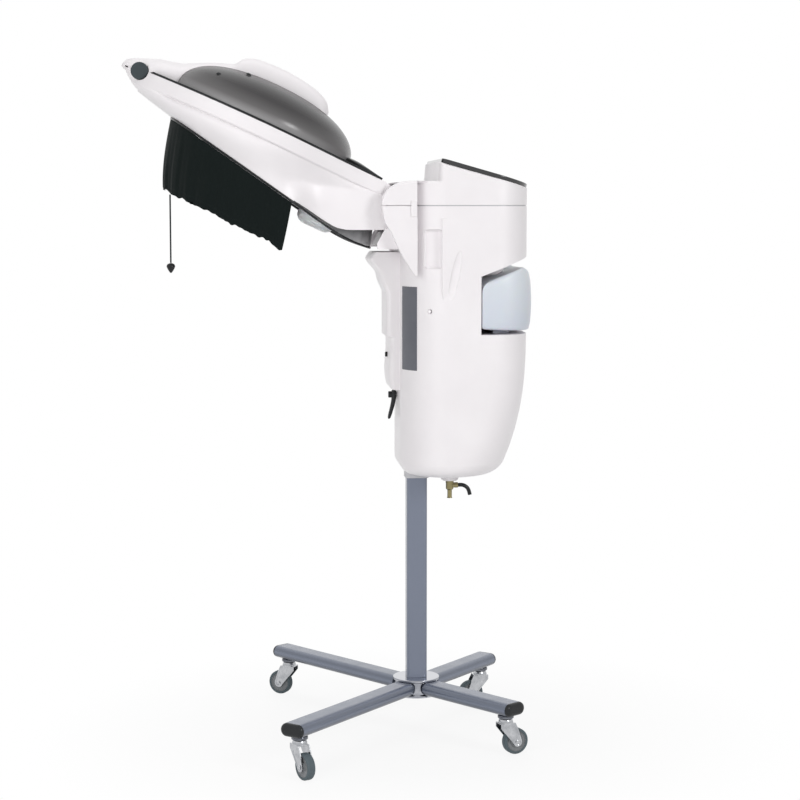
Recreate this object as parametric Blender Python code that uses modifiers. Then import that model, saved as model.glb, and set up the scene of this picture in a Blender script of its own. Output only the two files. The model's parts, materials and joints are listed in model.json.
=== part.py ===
"""A salon hair steamer: a wheeled stand, a steam head that slides on a square column, and a tilting hood.

Metres, +Z up. The column stands on the Z axis, the hood points to -X and the water tank is at +X.
"""

import math

import bmesh
import bpy
from mathutils import Matrix, Vector

OBJECT = "hair_steamer"

# Gaps: between pieces that touch, and between pieces that slide or turn
SEAT = 0.0003
RUN = 0.0005

# Casters
WHEEL_RADIUS = 0.025
WHEEL_WIDTH = 0.018
WHEEL_HUB_RADIUS = 0.009
WHEEL_WEB = 0.011
AXLE_RADIUS = 0.004
CASTER_TRAIL = 0.020
CASTER_HEIGHT = 0.0795
RACE_RADIUS = 0.0155
RACE_DEPTH = 0.008
STEM_RADIUS = 0.005
STEM_GRIP = 0.010
FORK_SHEET = 0.002
FORK_SIDE_GAP = 0.001
FORK_EYE_RADIUS = 0.009
FORK_TOP_REACH = 0.015

# Stand
LEG_WIDTH = 0.050
LEG_DEPTH = 0.025
LEG_WALL = 0.002
LEG_ANGLE = math.radians(51.4)
FRONT_LEG_REACH = 0.409
REAR_LEG_REACH = 0.265
CASTER_INSET = 0.020
CAP_BULGE = 0.009
CAP_PLUG = 0.014
HUB_RADIUS = 0.046
HUB_CORE_RADIUS = 0.034
HUB_PLATE = 0.005
HUB_BOLT_RADIUS = 0.006
HUB_BOLT_HEAD = 0.007
COLUMN_WIDTH = 0.040
COLUMN_WALL = 0.002
COLUMN_CORNER = 0.006
COLUMN_LENGTH = 0.710
PLUG_DEPTH = 0.022

# Steam head
HEAD_BOTTOM = 0.523
PART_LINE = 1.040
HEAD_FRONT = -0.045
HEAD_REAR = 0.204
HEAD_HALF_WIDTH = 0.145
FRONT_CORNER = 0.050
REAR_CORNER = 0.070
BOTTOM_ROUND = 0.028
REAR_TAPER_TOP = 0.800
REAR_DRAW_IN = 0.049
REAR_TAPER_POWER = 2.5
SKIN = 0.003
FRONT_WALL_TOP = 0.957
SLEEVE_WALL = 0.0025
SLEEVE_LENGTH = 0.250
SLEEVE_DROP = 0.014

# Ears that carry the hood
EAR_FRONT = -0.078
EAR_REAR = -0.012
EAR_TIP = 0.909
EAR_THICKNESS = 0.024
EAR_PROUD = 0.002
PIVOT_X = -0.030
PIVOT_Z = 1.020
PIN_RADIUS = 0.006
CRADLE_RADIUS = 0.048
CRADLE_SHEET = 0.0025
LIP_LOW = Vector((-0.079, 0.963))

# Top cover and control panel
COVER_TOP = 1.086
CONSOLE_FRONT = 0.029
CONSOLE_DRAFT = 0.003
CONSOLE_CORNER = 0.030
CONSOLE_FRONT_TOP = 1.122
CONSOLE_SLOPE = 0.283
COVER_ROUND = 0.006
PANEL_THICKNESS = 0.008
PANEL_INSET = 0.0015
KEY_LENGTH = 0.022
KEY_WIDTH = 0.030
KEY_PITCH = 0.052
KEY_DEPTH = 0.004
KEY_TRAVEL = 0.001
KEY_PROUD = 0.0012
CLIP_LENGTH = 0.030
CLIP_WIDTH = 0.011
CLIP_THICKNESS = 0.003

# Finger pocket in each side
POCKET_X = 0.018
POCKET_Z = 0.9585
POCKET_LENGTH = 0.034
POCKET_HEIGHT = 0.075
POCKET_DEPTH = 0.012

# Flutes (place along X, foot, head) and a screw recess in each side
FLUTES = ((0.032, 0.862, 1.012), (0.066, 0.870, 0.985))
FLUTE_WIDTH = 0.014
FLUTE_DEPTH = 0.0018
RECESS_X = 0.012
RECESS_Z = 0.841
RECESS_RADIUS = 0.0045

# Water tank and its bay
BAY_FRONT = 0.109
BAY_FLOOR = 0.797
BAY_FRONT_TOP = 0.901
BAY_SLOPE = 0.452
BAY_SHEET = 0.0025
TANK_GAP = 0.0035
TANK_TOP_GAP = 0.009
TANK_BULGE = 0.010
TANK_WALL = 0.0025
TANK_CORNER = 0.012
FILLER_RADIUS = 0.018
FILLER_RIM = 0.004
CAP_HEIGHT = 0.004

# Front cover, clamp and button
FRONT_COVER_HALF_WIDTH = 0.060
FRONT_COVER_CORNER = 0.010
FRONT_COVER_CLAMP_GAP = 0.014
FRONT_COVER_TOP = 0.951
FRONT_COVER_SKIN = 0.0025
FRONT_COVER_PROUD = 0.0115
CLAMP_COVER_PROUD = 0.019
CLAMP_STEP_RISE = 0.116
CHIN_START_Z = 0.874
CHIN_PROUD = 0.051
CHIN_Z = 0.936
CLAMP_Z = 0.672
CLAMP_SCREW_RADIUS = 0.004
CLAMP_HUB_RADIUS = 0.008
CLAMP_LEVER_LENGTH = 0.048
CLAMP_LEVER_THICKNESS = 0.009
CLAMP_LEVER_WIDTH = 0.013
BUTTON_RISE = 0.079
BUTTON_RADIUS = 0.005
BUTTON_PROUD = 0.004
BUTTON_TRAVEL = 0.002

# Boiler, pipes, drain tap and cord gland
BOILER_X = 0.073
BOILER_RADIUS = 0.046
BOILER_HEIGHT = 0.180
BOILER_WALL = 0.002
STEAM_PIPE_RADIUS = 0.010
FEED_PIPE_RADIUS = 0.007
DRAIN_X = 0.064
DRAIN_Y = -0.020
DRAIN_BOSS_RADIUS = 0.019
DRAIN_BOSS_DEPTH = 0.019
DRAIN_SHANK_RADIUS = 0.006
DRAIN_BODY_RADIUS = 0.008
DRAIN_DROP = 0.054
DRAIN_STEM_REACH = 0.020
GLAND_X = 0.112
GLAND_Y = 0.075
GLAND_RADIUS = 0.011
GLAND_BORE = 0.004

# Hood, in its own frame: origin on the tilt axis, seam plane level
HOOD_TILT = math.radians(24.8)
SEAM_Z = 0.042
TRAY_NOSE = -0.587
TRAY_WIDEST = -0.310
TRAY_HALF_WIDTH = 0.190
TRAY_REAR = -0.060
BAND_DEPTH = 0.025
BAND_LEDGE = 0.004
TRAY_SKIN = 0.003
BAND_EAR_GAP = 0.003
RIM_FRONT = -0.478
RIM_REAR = -0.030
RIM_WIDEST = -0.300
RIM_HALF_WIDTH = 0.150
RIM_FRONT_Z = -0.014
RIM_SLOPE = -0.1806
RIM_HEEL_START = -0.120
RIM_HEEL_RISE = 0.016
RIM_POWER = 2.3
BEAD_RADIUS = 0.0022
BARREL_RADIUS = 0.040
BARREL_WALL = 0.005
NECK_OVERHANG = 0.008
NECK_PLATE = 0.006
NECK_START = -0.165
NECK_LOW = Vector((-0.100, -0.0755))

# Dome cover, in the hood's frame
DOME_X = -0.318
DOME_RADIUS = 0.184
DOME_HEIGHT = 0.079
DOME_SKIN = 0.0025
DOME_FOOT = 0.003
FLANGE = 0.004
FLANGE_INSET = 0.001
FLANGE_FRONT = -0.540
SPINE_HALF_WIDTH = 0.052
HINGE_X = -0.566
HINGE_Z = 0.038
HINGE_PIN_RADIUS = 0.004
HINGE_EYE_RADIUS = 0.010
HINGE_EAR_INNER = 0.022
HINGE_EAR_OUTER = 0.034
LUG_INNER = 0.0355
LUG_OUTER = 0.0455
LUG_RADIUS = 0.012
KNOB_RADIUS = 0.018
KNOB_DEPTH = 0.009
NOSE_SWING = math.radians(36.0)

# Steam outlet, curtain and drawstring
OUTLET_X = -0.147
OUTLET_Z = -0.092
OUTLET_RADIUS = 0.040
OUTLET_DEPTH = 0.022
OUTLET_SKIN = 0.002
NOZZLE_RADIUS = 0.012
CURTAIN_REAR = -0.205
CURTAIN_FRONT_DROP = 0.132
CURTAIN_REAR_DROP = 0.089
CURTAIN_LEAN = math.radians(11.0)
CURTAIN_THICKNESS = 0.0015
CURTAIN_FOLDS = 17
CURTAIN_FOLD_DEPTH = 0.006
CURTAIN_DRAW_IN = 0.010
STRING_LENGTH = 0.128
STRING_RADIUS = 0.0015
TOGGLE_LENGTH = 0.019
TOGGLE_RADIUS = 0.0085

# Facets
ROUND = 24
SMALL_ROUND = 16

# Heights and places that follow from the sizes above
LEG_Z = CASTER_HEIGHT + LEG_DEPTH / 2
HUB_TOP = LEG_Z + LEG_DEPTH / 2 + SEAT + HUB_PLATE
COLUMN_FOOT = HUB_TOP + SEAT
EAR_INNER = HEAD_HALF_WIDTH - EAR_THICKNESS
BAND_HALF_WIDTH = EAR_INNER - BAND_EAR_GAP
NECK_HALF_WIDTH = BAND_HALF_WIDTH - NECK_OVERHANG
FORK_INSIDE = WHEEL_WIDTH / 2 + FORK_SIDE_GAP
PIVOT = Vector((PIVOT_X, 0.0, PIVOT_Z))
FRONT_COVER_BOTTOM = CLAMP_Z + FRONT_COVER_CLAMP_GAP
CLAMP_STEP_Z = CLAMP_Z + CLAMP_STEP_RISE
BUTTON_Z = CLAMP_Z + BUTTON_RISE
FLANGE_Z = SEAM_Z + SEAT
DOME_BASE = FLANGE_Z + FLANGE + SEAT

PARTS = None
CUTTERS = None


# Scene and mesh helpers


def clear_scene():
    for obj in list(bpy.data.objects):
        bpy.data.objects.remove(obj, do_unlink=True)


def new_collection(name):
    collection = bpy.data.collections.new(name)
    bpy.context.scene.collection.children.link(collection)
    return collection


def material(name, colour, roughness, metallic=0.0, alpha=1.0):
    made = bpy.data.materials.new(name)
    made.use_nodes = True
    shader = made.node_tree.nodes["Principled BSDF"]
    shader.inputs["Base Color"].default_value = (*colour, 1.0)
    shader.inputs["Roughness"].default_value = roughness
    shader.inputs["Metallic"].default_value = metallic
    shader.inputs["Alpha"].default_value = alpha
    return made


def add(name, data, finish=None, parent=None, at=(0, 0, 0), turn=(0, 0, 0), cutter=False):
    """Links a new object at a place and turn in its parent's frame."""
    obj = bpy.data.objects.new(name, data)
    (CUTTERS if cutter else PARTS).objects.link(obj)
    obj.parent = parent
    obj.location = at
    obj.rotation_euler = turn
    if cutter:
        obj.hide_render = True
        obj.display_type = "WIRE"
    elif finish is not None:
        data.materials.append(finish)
    return obj


def empty(name, at, turn=(0, 0, 0), parent=None):
    obj = bpy.data.objects.new(name, None)
    PARTS.objects.link(obj)
    obj.parent = parent
    obj.location = at
    obj.rotation_euler = turn
    obj.hide_render = True
    return obj


def smooth(mesh, degrees=35.0):
    mesh.shade_smooth()
    mesh.set_sharp_from_angle(angle=math.radians(degrees))


def block(low, high, round_edges=0.0):
    """A box between two corners, with its upright and level edges rounded if asked."""
    work = bmesh.new()
    bmesh.ops.create_cube(work, size=1.0)
    size = Vector(high) - Vector(low)
    centre = (Vector(high) + Vector(low)) / 2
    bmesh.ops.scale(work, vec=size, verts=work.verts)
    bmesh.ops.translate(work, vec=centre, verts=work.verts)
    if round_edges:
        bmesh.ops.bevel(work, geom=work.edges[:], offset=round_edges, segments=2, affect="EDGES", profile=0.5)
    mesh = bpy.data.meshes.new("block")
    work.to_mesh(mesh)
    work.free()
    return mesh


def rod(radius, start, end, sides=SMALL_ROUND):
    """A round bar between two points."""
    start, end = Vector(start), Vector(end)
    work = bmesh.new()
    axis = end - start
    turn = axis.to_track_quat("Z", "Y").to_matrix().to_4x4()
    place = Matrix.Translation((start + end) / 2) @ turn
    bmesh.ops.create_cone(
        work, cap_ends=True, segments=sides, radius1=radius, radius2=radius, depth=axis.length, matrix=place
    )
    mesh = bpy.data.meshes.new("rod")
    work.to_mesh(mesh)
    work.free()
    smooth(mesh)
    return mesh


def turned(profile, sides=ROUND, bored=False):
    """A profile of (radius, height) points, top to bottom on the outside, turned about Z."""
    mesh = bpy.data.meshes.new("turned")
    work = bmesh.new()
    verts = [work.verts.new((radius, 0.0, height)) for radius, height in profile]
    for first, second in zip(verts, verts[1:]):
        work.edges.new((first, second))
    if bored:
        work.edges.new((verts[-1], verts[0]))
    work.to_mesh(mesh)
    work.free()
    guide = bpy.data.objects.new("turned", mesh)
    CUTTERS.objects.link(guide)
    screw = guide.modifiers.new("turn", "SCREW")
    screw.steps = sides
    screw.render_steps = sides
    screw.use_merge_vertices = True
    screw.merge_threshold = 0.00001
    made = baked(guide)
    smooth(made)
    return made


def baked(obj):
    """The evaluated mesh of an object that is then removed."""
    graph = bpy.context.evaluated_depsgraph_get()
    mesh = bpy.data.meshes.new_from_object(obj.evaluated_get(graph))
    bpy.data.objects.remove(obj, do_unlink=True)
    work = bmesh.new()
    work.from_mesh(mesh)
    bmesh.ops.remove_doubles(work, verts=work.verts, dist=0.000005)
    bmesh.ops.recalc_face_normals(work, faces=work.faces)
    work.to_mesh(mesh)
    work.free()
    return mesh


def sheet(outlines, depth):
    """Flat closed outlines, the later ones holes, extruded by depth about their own plane."""
    data = bpy.data.curves.new("sheet", "CURVE")
    data.dimensions = "2D"
    data.fill_mode = "BOTH"
    data.extrude = depth / 2
    for outline in outlines:
        spline = data.splines.new("POLY")
        spline.points.add(len(outline) - 1)
        for point, place in zip(spline.points, outline):
            point.co = (place[0], place[1], 0.0, 1.0)
        spline.use_cyclic_u = True
    guide = bpy.data.objects.new("sheet", data)
    CUTTERS.objects.link(guide)
    return baked(guide)


def tube(points, radius, sides=2, cyclic=False):
    """A round tube through points."""
    data = bpy.data.curves.new("tube", "CURVE")
    data.dimensions = "3D"
    data.bevel_depth = radius
    data.bevel_resolution = sides
    data.use_fill_caps = True
    spline = data.splines.new("POLY")
    spline.points.add(len(points) - 1)
    for point, place in zip(spline.points, points):
        point.co = (*place, 1.0)
    spline.use_cyclic_u = cyclic
    guide = bpy.data.objects.new("tube", data)
    CUTTERS.objects.link(guide)
    made = baked(guide)
    smooth(made)
    return made


def loft(rings, close_rings=True, cap_start=True, cap_end=True):
    """A skin through rings with equal numbers of points."""
    work = bmesh.new()
    rows = [[work.verts.new(point) for point in ring] for ring in rings]
    count = len(rows[0])
    steps = count if close_rings else count - 1
    for row, following in zip(rows, rows[1:]):
        for index in range(steps):
            after = (index + 1) % count
            work.faces.new((row[index], row[after], following[after], following[index]))
    if cap_start:
        work.faces.new(rows[0])
    if cap_end:
        work.faces.new(rows[-1])
    bmesh.ops.recalc_face_normals(work, faces=work.faces)
    mesh = bpy.data.meshes.new("loft")
    work.to_mesh(mesh)
    work.free()
    smooth(mesh)
    return mesh


def thicken(obj, thickness):
    """Gives an open skin its thickness, on the inside."""
    shell = obj.modifiers.new("wall", "SOLIDIFY")
    shell.thickness = thickness
    shell.offset = -1.0
    shell.use_even_offset = True
    return obj


def boolean(obj, tool, operation, solver="MANIFOLD"):
    step = obj.modifiers.new(operation.lower(), "BOOLEAN")
    step.operation = operation
    step.solver = solver
    step.object = tool
    return obj


def cut(obj, mesh, parent=None, at=(0, 0, 0), turn=(0, 0, 0)):
    return boolean(obj, add("cut_" + obj.name, mesh, parent=parent, at=at, turn=turn, cutter=True), "DIFFERENCE")


def join(obj, mesh, parent=None, at=(0, 0, 0), turn=(0, 0, 0)):
    return boolean(obj, add("join_" + obj.name, mesh, parent=parent, at=at, turn=turn, cutter=True), "UNION")


def keep(obj, mesh, parent=None, at=(0, 0, 0), turn=(0, 0, 0)):
    return boolean(obj, add("keep_" + obj.name, mesh, parent=parent, at=at, turn=turn, cutter=True), "INTERSECT")


def arc(centre, radius, start, end, steps):
    """Points along an arc in a plane, angles in degrees."""
    angles = [math.radians(start + (end - start) * step / steps) for step in range(steps + 1)]
    return [Vector((centre[0] + radius * math.cos(a), centre[1] + radius * math.sin(a))) for a in angles]


def flat_oval(width, depth, steps=6):
    side = (width - depth) / 2
    return arc((side, 0), depth / 2, -90, 90, steps) + arc((-side, 0), depth / 2, 90, 270, steps)


def round_square(width, corner, steps=3):
    half = width / 2 - corner
    outline = []
    for number, (x, y) in enumerate(((half, half), (-half, half), (-half, -half), (half, -half))):
        outline += arc((x, y), corner, 90 * number, 90 * number + 90, steps)
    return outline


def across_y(mesh):
    """Turns a sheet drawn in X and Z so that its depth runs along Y."""
    mesh.transform(Matrix.Rotation(math.radians(90), 4, "X"))
    return mesh


def along_y(mesh):
    """Turns a mesh made about Z so that its axis runs along Y."""
    mesh.transform(Matrix.Rotation(math.radians(-90), 4, "X"))
    return mesh


def moved(mesh, offset):
    mesh.transform(Matrix.Translation(offset))
    return mesh


# Stand


def make_hub(chrome, zinc):
    low = LEG_Z - LEG_DEPTH / 2 - SEAT
    bore = HUB_BOLT_RADIUS + SEAT
    edge = HUB_PLATE * 0.4
    top = [
        (bore, HUB_TOP),
        (HUB_RADIUS - edge, HUB_TOP),
        (HUB_RADIUS, HUB_TOP - edge),
        (HUB_RADIUS, HUB_TOP - HUB_PLATE),
        (bore, HUB_TOP - HUB_PLATE),
    ]
    core_top = HUB_TOP - HUB_PLATE - SEAT
    core = HUB_CORE_RADIUS - SEAT
    under = low - HUB_PLATE
    well = 2 * HUB_BOLT_RADIUS + RUN
    well_top = under + HUB_BOLT_HEAD + 2 * SEAT
    bottom = [
        (bore, core_top),
        (core, core_top),
        (core, low),
        (HUB_RADIUS, low),
        (HUB_RADIUS, under + edge),
        (HUB_RADIUS - edge, under),
        (well, under),
        (well, well_top),
        (bore, well_top),
    ]
    add("hub_top_plate", turned(top, 32, bored=True), chrome)
    add("hub_base", turned(bottom, 32, bored=True), chrome)
    head_top = well_top - SEAT
    shank_top = COLUMN_FOOT + PLUG_DEPTH
    bolt = add("hub_bolt", rod(HUB_BOLT_RADIUS, (0, 0, head_top - HUB_BOLT_HEAD / 2), (0, 0, shank_top)), zinc)
    join(bolt, rod(2 * HUB_BOLT_RADIUS, (0, 0, head_top - HUB_BOLT_HEAD), (0, 0, head_top), 6))


def make_column(paint, zinc):
    inner = COLUMN_WIDTH - 2 * COLUMN_WALL
    outlines = (round_square(COLUMN_WIDTH, COLUMN_CORNER), round_square(inner, COLUMN_CORNER - COLUMN_WALL))
    add("column_tube", sheet(outlines, COLUMN_LENGTH), paint, at=(0, 0, COLUMN_FOOT + COLUMN_LENGTH / 2))
    hole = arc((0, 0), HUB_BOLT_RADIUS + SEAT, 0, 330, 11)
    plug = (round_square(inner - 2 * SEAT, COLUMN_CORNER - COLUMN_WALL), hole)
    add("column_plug", sheet(plug, PLUG_DEPTH), zinc, at=(0, 0, COLUMN_FOOT + PLUG_DEPTH / 2))


def leg_places():
    """Name, plan angle, reach and caster heading of each leg; left is the -Y side."""
    half_turn = math.pi
    return (
        ("front_left", half_turn + LEG_ANGLE, FRONT_LEG_REACH, math.radians(-62)),
        ("front_right", half_turn - LEG_ANGLE, FRONT_LEG_REACH, math.radians(152)),
        ("rear_left", -LEG_ANGLE, REAR_LEG_REACH, math.radians(20)),
        ("rear_right", LEG_ANGLE, REAR_LEG_REACH, math.radians(188)),
    )


def make_leg(name, angle, reach, paint, black):
    start = HUB_CORE_RADIUS
    inner = (LEG_WIDTH - 2 * LEG_WALL, LEG_DEPTH - 2 * LEG_WALL)
    tube_mesh = sheet((flat_oval(LEG_WIDTH, LEG_DEPTH), flat_oval(*inner)), reach - start)
    tube_mesh.transform(Matrix.Rotation(math.radians(90), 4, "X"))
    tube_mesh.transform(Matrix.Rotation(math.radians(90), 4, "Z"))
    smooth(tube_mesh)
    root = empty("leg_axis_" + name, (0, 0, LEG_Z), (0, 0, angle))
    leg = add("leg_" + name, tube_mesh, paint, parent=root, at=((start + reach) / 2, 0, 0))
    stem_x = reach - CASTER_INSET
    cut(leg, rod(STEM_RADIUS + RUN, (stem_x, 0, -LEG_DEPTH), (stem_x, 0, 0)), parent=root)
    add("leg_cap_" + name, cap_mesh(inner), black, parent=root, at=(reach, 0, 0))


def cap_mesh(inner):
    """A domed plug for the end of a flat-oval tube, along +X."""
    stations = (
        (-CAP_PLUG, inner[0] - 0.004, inner[1] - 0.004),
        (SEAT, inner[0] - 2 * SEAT, inner[1] - 2 * SEAT),
        (SEAT, LEG_WIDTH, LEG_DEPTH),
        (CAP_BULGE * 0.45, LEG_WIDTH, LEG_DEPTH),
        (CAP_BULGE * 0.85, LEG_WIDTH - 0.007, LEG_DEPTH - 0.007),
        (CAP_BULGE, LEG_WIDTH - 0.020, LEG_DEPTH - 0.018),
    )
    rings = []
    for x, width, depth in stations:
        rings.append([(x, point.x, point.y) for point in flat_oval(width, depth, 5)])
    return loft(rings)


def fork_mesh():
    """A pressed yoke with its stem, race and axle, about the swivel axis, trailing towards +X."""
    top = CASTER_HEIGHT - RUN
    groove = top - RACE_DEPTH
    bridge = groove - 0.008
    side = FORK_INSIDE + FORK_SHEET
    low, high = (-FORK_TOP_REACH, -side, bridge - FORK_SHEET), (FORK_TOP_REACH, side, bridge)
    pattern = add("fork_pattern", block(low, high), cutter=True)
    race = [
        (0, top + STEM_GRIP),
        (STEM_RADIUS, top + STEM_GRIP),
        (STEM_RADIUS, top),
        (RACE_RADIUS - 0.002, top),
        (RACE_RADIUS, top - 0.002),
        (RACE_RADIUS, groove + 0.001),
        (RACE_RADIUS - 0.003, groove + 0.001),
        (RACE_RADIUS - 0.003, groove - 0.001),
        (RACE_RADIUS, groove - 0.001),
        (RACE_RADIUS, bridge - 0.001),
        (0, bridge - 0.001),
    ]
    join(pattern, turned(race, 12))
    eye = arc((CASTER_TRAIL, WHEEL_RADIUS), FORK_EYE_RADIUS, -160, 20, 6)
    arm = [Vector((-FORK_TOP_REACH, bridge)), Vector((-FORK_TOP_REACH, bridge - 0.009)), *eye]
    arm += [Vector((FORK_TOP_REACH + 0.006, bridge - 0.012)), Vector((FORK_TOP_REACH, bridge))]
    for sign in (-1, 1):
        plate = moved(across_y(sheet((arm,), FORK_SHEET)), (0, sign * (side - FORK_SHEET / 2), 0))
        join(pattern, plate)
    ends = (CASTER_TRAIL, -side - 0.002, WHEEL_RADIUS), (CASTER_TRAIL, side + 0.002, WHEEL_RADIUS)
    join(pattern, rod(AXLE_RADIUS, *ends, 10))
    made = baked(pattern)
    smooth(made)
    return made


def wheel_mesh():
    bore = AXLE_RADIUS + RUN
    half = WHEEL_WIDTH / 2
    web = WHEEL_WEB / 2
    tread = WHEEL_RADIUS - 0.006
    side = [(bore, half), (WHEEL_HUB_RADIUS, half), (WHEEL_HUB_RADIUS + 0.001, web), (tread, web)]
    side += [(tread + 0.001, half - 0.001), (WHEEL_RADIUS - 0.001, half - 0.001), (WHEEL_RADIUS, half - 0.003)]
    profile = side + [(radius, -height) for radius, height in reversed(side)]
    return along_y(turned(profile, 16, bored=True))


def make_stand(finishes):
    make_hub(finishes["chrome"], finishes["zinc"])
    make_column(finishes["paint"], finishes["zinc"])
    fork, wheel = fork_mesh(), wheel_mesh()
    for name, angle, reach, heading in leg_places():
        make_leg(name, angle, reach, finishes["paint"], finishes["black"])
        radius = reach - CASTER_INSET
        place = (radius * math.cos(angle), radius * math.sin(angle), 0)
        swivel = empty("swivel_" + name, place, (0, 0, heading))
        add("caster_fork_" + name, fork.copy(), finishes["zinc"], parent=swivel)
        axle = (CASTER_TRAIL, 0, WHEEL_RADIUS)
        add("caster_wheel_" + name, wheel.copy(), finishes["rubber"], parent=swivel, at=axle)


# Steam head


def head_rear(z):
    """The rear edge of the head at a height: upright above, drawn in below."""
    drop = max(0.0, (REAR_TAPER_TOP - z) / (REAR_TAPER_TOP - HEAD_BOTTOM))
    return HEAD_REAR - REAR_DRAW_IN * drop**REAR_TAPER_POWER


def half_plan(front, rear, half_width, inset, side, start=SEAT / 2):
    """Half of the head's plan, from the front centre round one side to the rear centre."""
    front_corner = FRONT_CORNER - inset
    rear_corner = REAR_CORNER - inset
    width = half_width - inset
    outline = [Vector((front + inset, start))]
    outline += arc((front + inset + front_corner, width - front_corner), front_corner, 180, 90, 6)
    outline += arc((rear - inset - rear_corner, width - rear_corner), rear_corner, 90, 0, 7)
    outline.append(Vector((rear - inset, start)))
    return [Vector((point.x, side * point.y)) for point in outline]


def full_plan(front, rear, half_width, inset):
    left = half_plan(front, rear, half_width, inset, -1, start=0.0)
    right = half_plan(front, rear, half_width, inset, 1, start=0.0)
    return left[1:-1] + right[-2:0:-1]


def head_levels():
    """Height and inset of each ring of the head, from the parting line down round the bottom edge."""
    levels = [(PART_LINE, 0.0), (REAR_TAPER_TOP, 0.0)]
    low = HEAD_BOTTOM + BOTTOM_ROUND
    for step in range(1, 5):
        levels.append((REAR_TAPER_TOP + (low - REAR_TAPER_TOP) * step / 4, 0.0))
    for step in (30, 60, 90):
        turn = math.radians(step)
        levels.append((low - BOTTOM_ROUND * math.sin(turn), BOTTOM_ROUND * (1 - math.cos(turn))))
    return levels


def bay_top(x):
    return BAY_FRONT_TOP + BAY_SLOPE * (x - BAY_FRONT)


def ear_outline():
    """The cheek that carries the hood, below the parting line, in X and Z."""
    top = PART_LINE - SEAT / 2
    return [
        Vector((EAR_FRONT, top)),
        Vector((EAR_FRONT + 0.006, PART_LINE - 0.031)),
        Vector((EAR_FRONT + 0.018, PART_LINE - 0.051)),
        Vector((EAR_FRONT + 0.037, PART_LINE - 0.092)),
        Vector((EAR_REAR - 0.004, EAR_TIP)),
        Vector((EAR_REAR, EAR_TIP)),
        Vector((EAR_REAR, top)),
    ]


def ear_tab_outline():
    """The part of the cheek that stands up inside the top cover."""
    reach = 0.004
    rise = COVER_TOP - SKIN - 0.0015
    low = PART_LINE - 0.020
    crown = arc((EAR_FRONT + 0.052, rise - 0.042), 0.042, 90, 170, 5)
    rear = EAR_REAR - 0.003
    return [Vector((rear, low)), Vector((rear, rise)), *crown, Vector((EAR_FRONT + reach + 0.004, low))]


def plate_in_y(outline, low, high):
    """An X and Z outline extruded between two Y values."""
    return moved(across_y(sheet((outline,), abs(high - low))), (0, (low + high) / 2, 0))


def make_housing(name, side, white):
    rings = []
    for z, inset in head_levels():
        plan = half_plan(HEAD_FRONT, head_rear(z), HEAD_HALF_WIDTH, inset, side)
        rings.append([(point.x, point.y, z) for point in plan])
    shell = add(name, loft(rings, close_rings=False, cap_start=False), white)
    thicken(shell, SKIN)
    window = EAR_INNER + 0.0008
    cut(shell, block((HEAD_FRONT - 0.05, -window, FRONT_WALL_TOP), (EAR_REAR + 0.010, window, PART_LINE + 0.05)))
    outer = HEAD_HALF_WIDTH + EAR_PROUD
    join(shell, plate_in_y(ear_outline(), side * EAR_INNER, side * outer))
    tab_outer = outer - SKIN - 0.0015
    join(shell, plate_in_y(ear_tab_outline(), side * EAR_INNER, side * tab_outer))
    pin_end = HEAD_HALF_WIDTH - 0.005
    start, end = (PIVOT_X, 0, PIVOT_Z), (PIVOT_X, side * pin_end, PIVOT_Z)
    cut(shell, rod(PIN_RADIUS + SEAT, start, end))
    make_pocket(shell, side)
    make_flutes(shell, side)
    bay = [(BAY_FRONT, BAY_FLOOR), (BAY_FRONT, BAY_FRONT_TOP), (HEAD_REAR + 0.05, bay_top(HEAD_REAR + 0.05))]
    bay.append((HEAD_REAR + 0.05, BAY_FLOOR))
    cut(shell, plate_in_y([Vector(point) for point in bay], -HEAD_HALF_WIDTH - 0.02, HEAD_HALF_WIDTH + 0.02))
    sleeve = sleeve_width() / 2 + SEAT
    cut(shell, block((-sleeve, -sleeve, HEAD_BOTTOM - 0.01), (sleeve, sleeve, HEAD_BOTTOM + 0.02)))
    screw = CLAMP_SCREW_RADIUS + 0.002
    cut(shell, rod(screw, (HEAD_FRONT - 0.01, 0, CLAMP_Z), (HEAD_FRONT + 0.015, 0, CLAMP_Z)))
    return shell


def make_pocket(shell, side):
    """A finger pocket: a thickened patch with a hollow in it."""
    wall = HEAD_HALF_WIDTH
    low = Vector((POCKET_X - POCKET_LENGTH / 2, 0, POCKET_Z - POCKET_HEIGHT / 2))
    high = Vector((POCKET_X + POCKET_LENGTH / 2, 0, POCKET_Z + POCKET_HEIGHT / 2))
    grow = Vector((SKIN, 0, SKIN))
    inner, outer = sorted((side * (wall - POCKET_DEPTH - SKIN), side * (wall - SKIN / 2)))
    join(shell, block(low - grow + Vector((0, inner, 0)), high + grow + Vector((0, outer, 0))))
    inner, outer = sorted((side * (wall - POCKET_DEPTH), side * (wall + 0.010)))
    cut(shell, block(low + Vector((0, inner, 0)), high + Vector((0, outer, 0)), round_edges=0.004))


def make_flutes(shell, side):
    """Two long shallow flutes and a round screw recess in the side wall."""
    for x, low, high in FLUTES:
        flute = bmesh.new()
        bmesh.ops.create_uvsphere(flute, u_segments=10, v_segments=8, radius=1.0)
        bmesh.ops.scale(flute, vec=(FLUTE_WIDTH / 2, FLUTE_DEPTH + 0.001, (high - low) / 2), verts=flute.verts)
        mesh = bpy.data.meshes.new("flute")
        flute.to_mesh(mesh)
        flute.free()
        cut(shell, mesh, at=(x, side * (HEAD_HALF_WIDTH + 0.001), (low + high) / 2))
    deep, proud = side * (HEAD_HALF_WIDTH - FLUTE_DEPTH), side * (HEAD_HALF_WIDTH + 0.01)
    cut(shell, rod(RECESS_RADIUS, (RECESS_X, deep, RECESS_Z), (RECESS_X, proud, RECESS_Z), 12))


def sleeve_width():
    return COLUMN_WIDTH + 2 * RUN + 2 * SLEEVE_WALL


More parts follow.
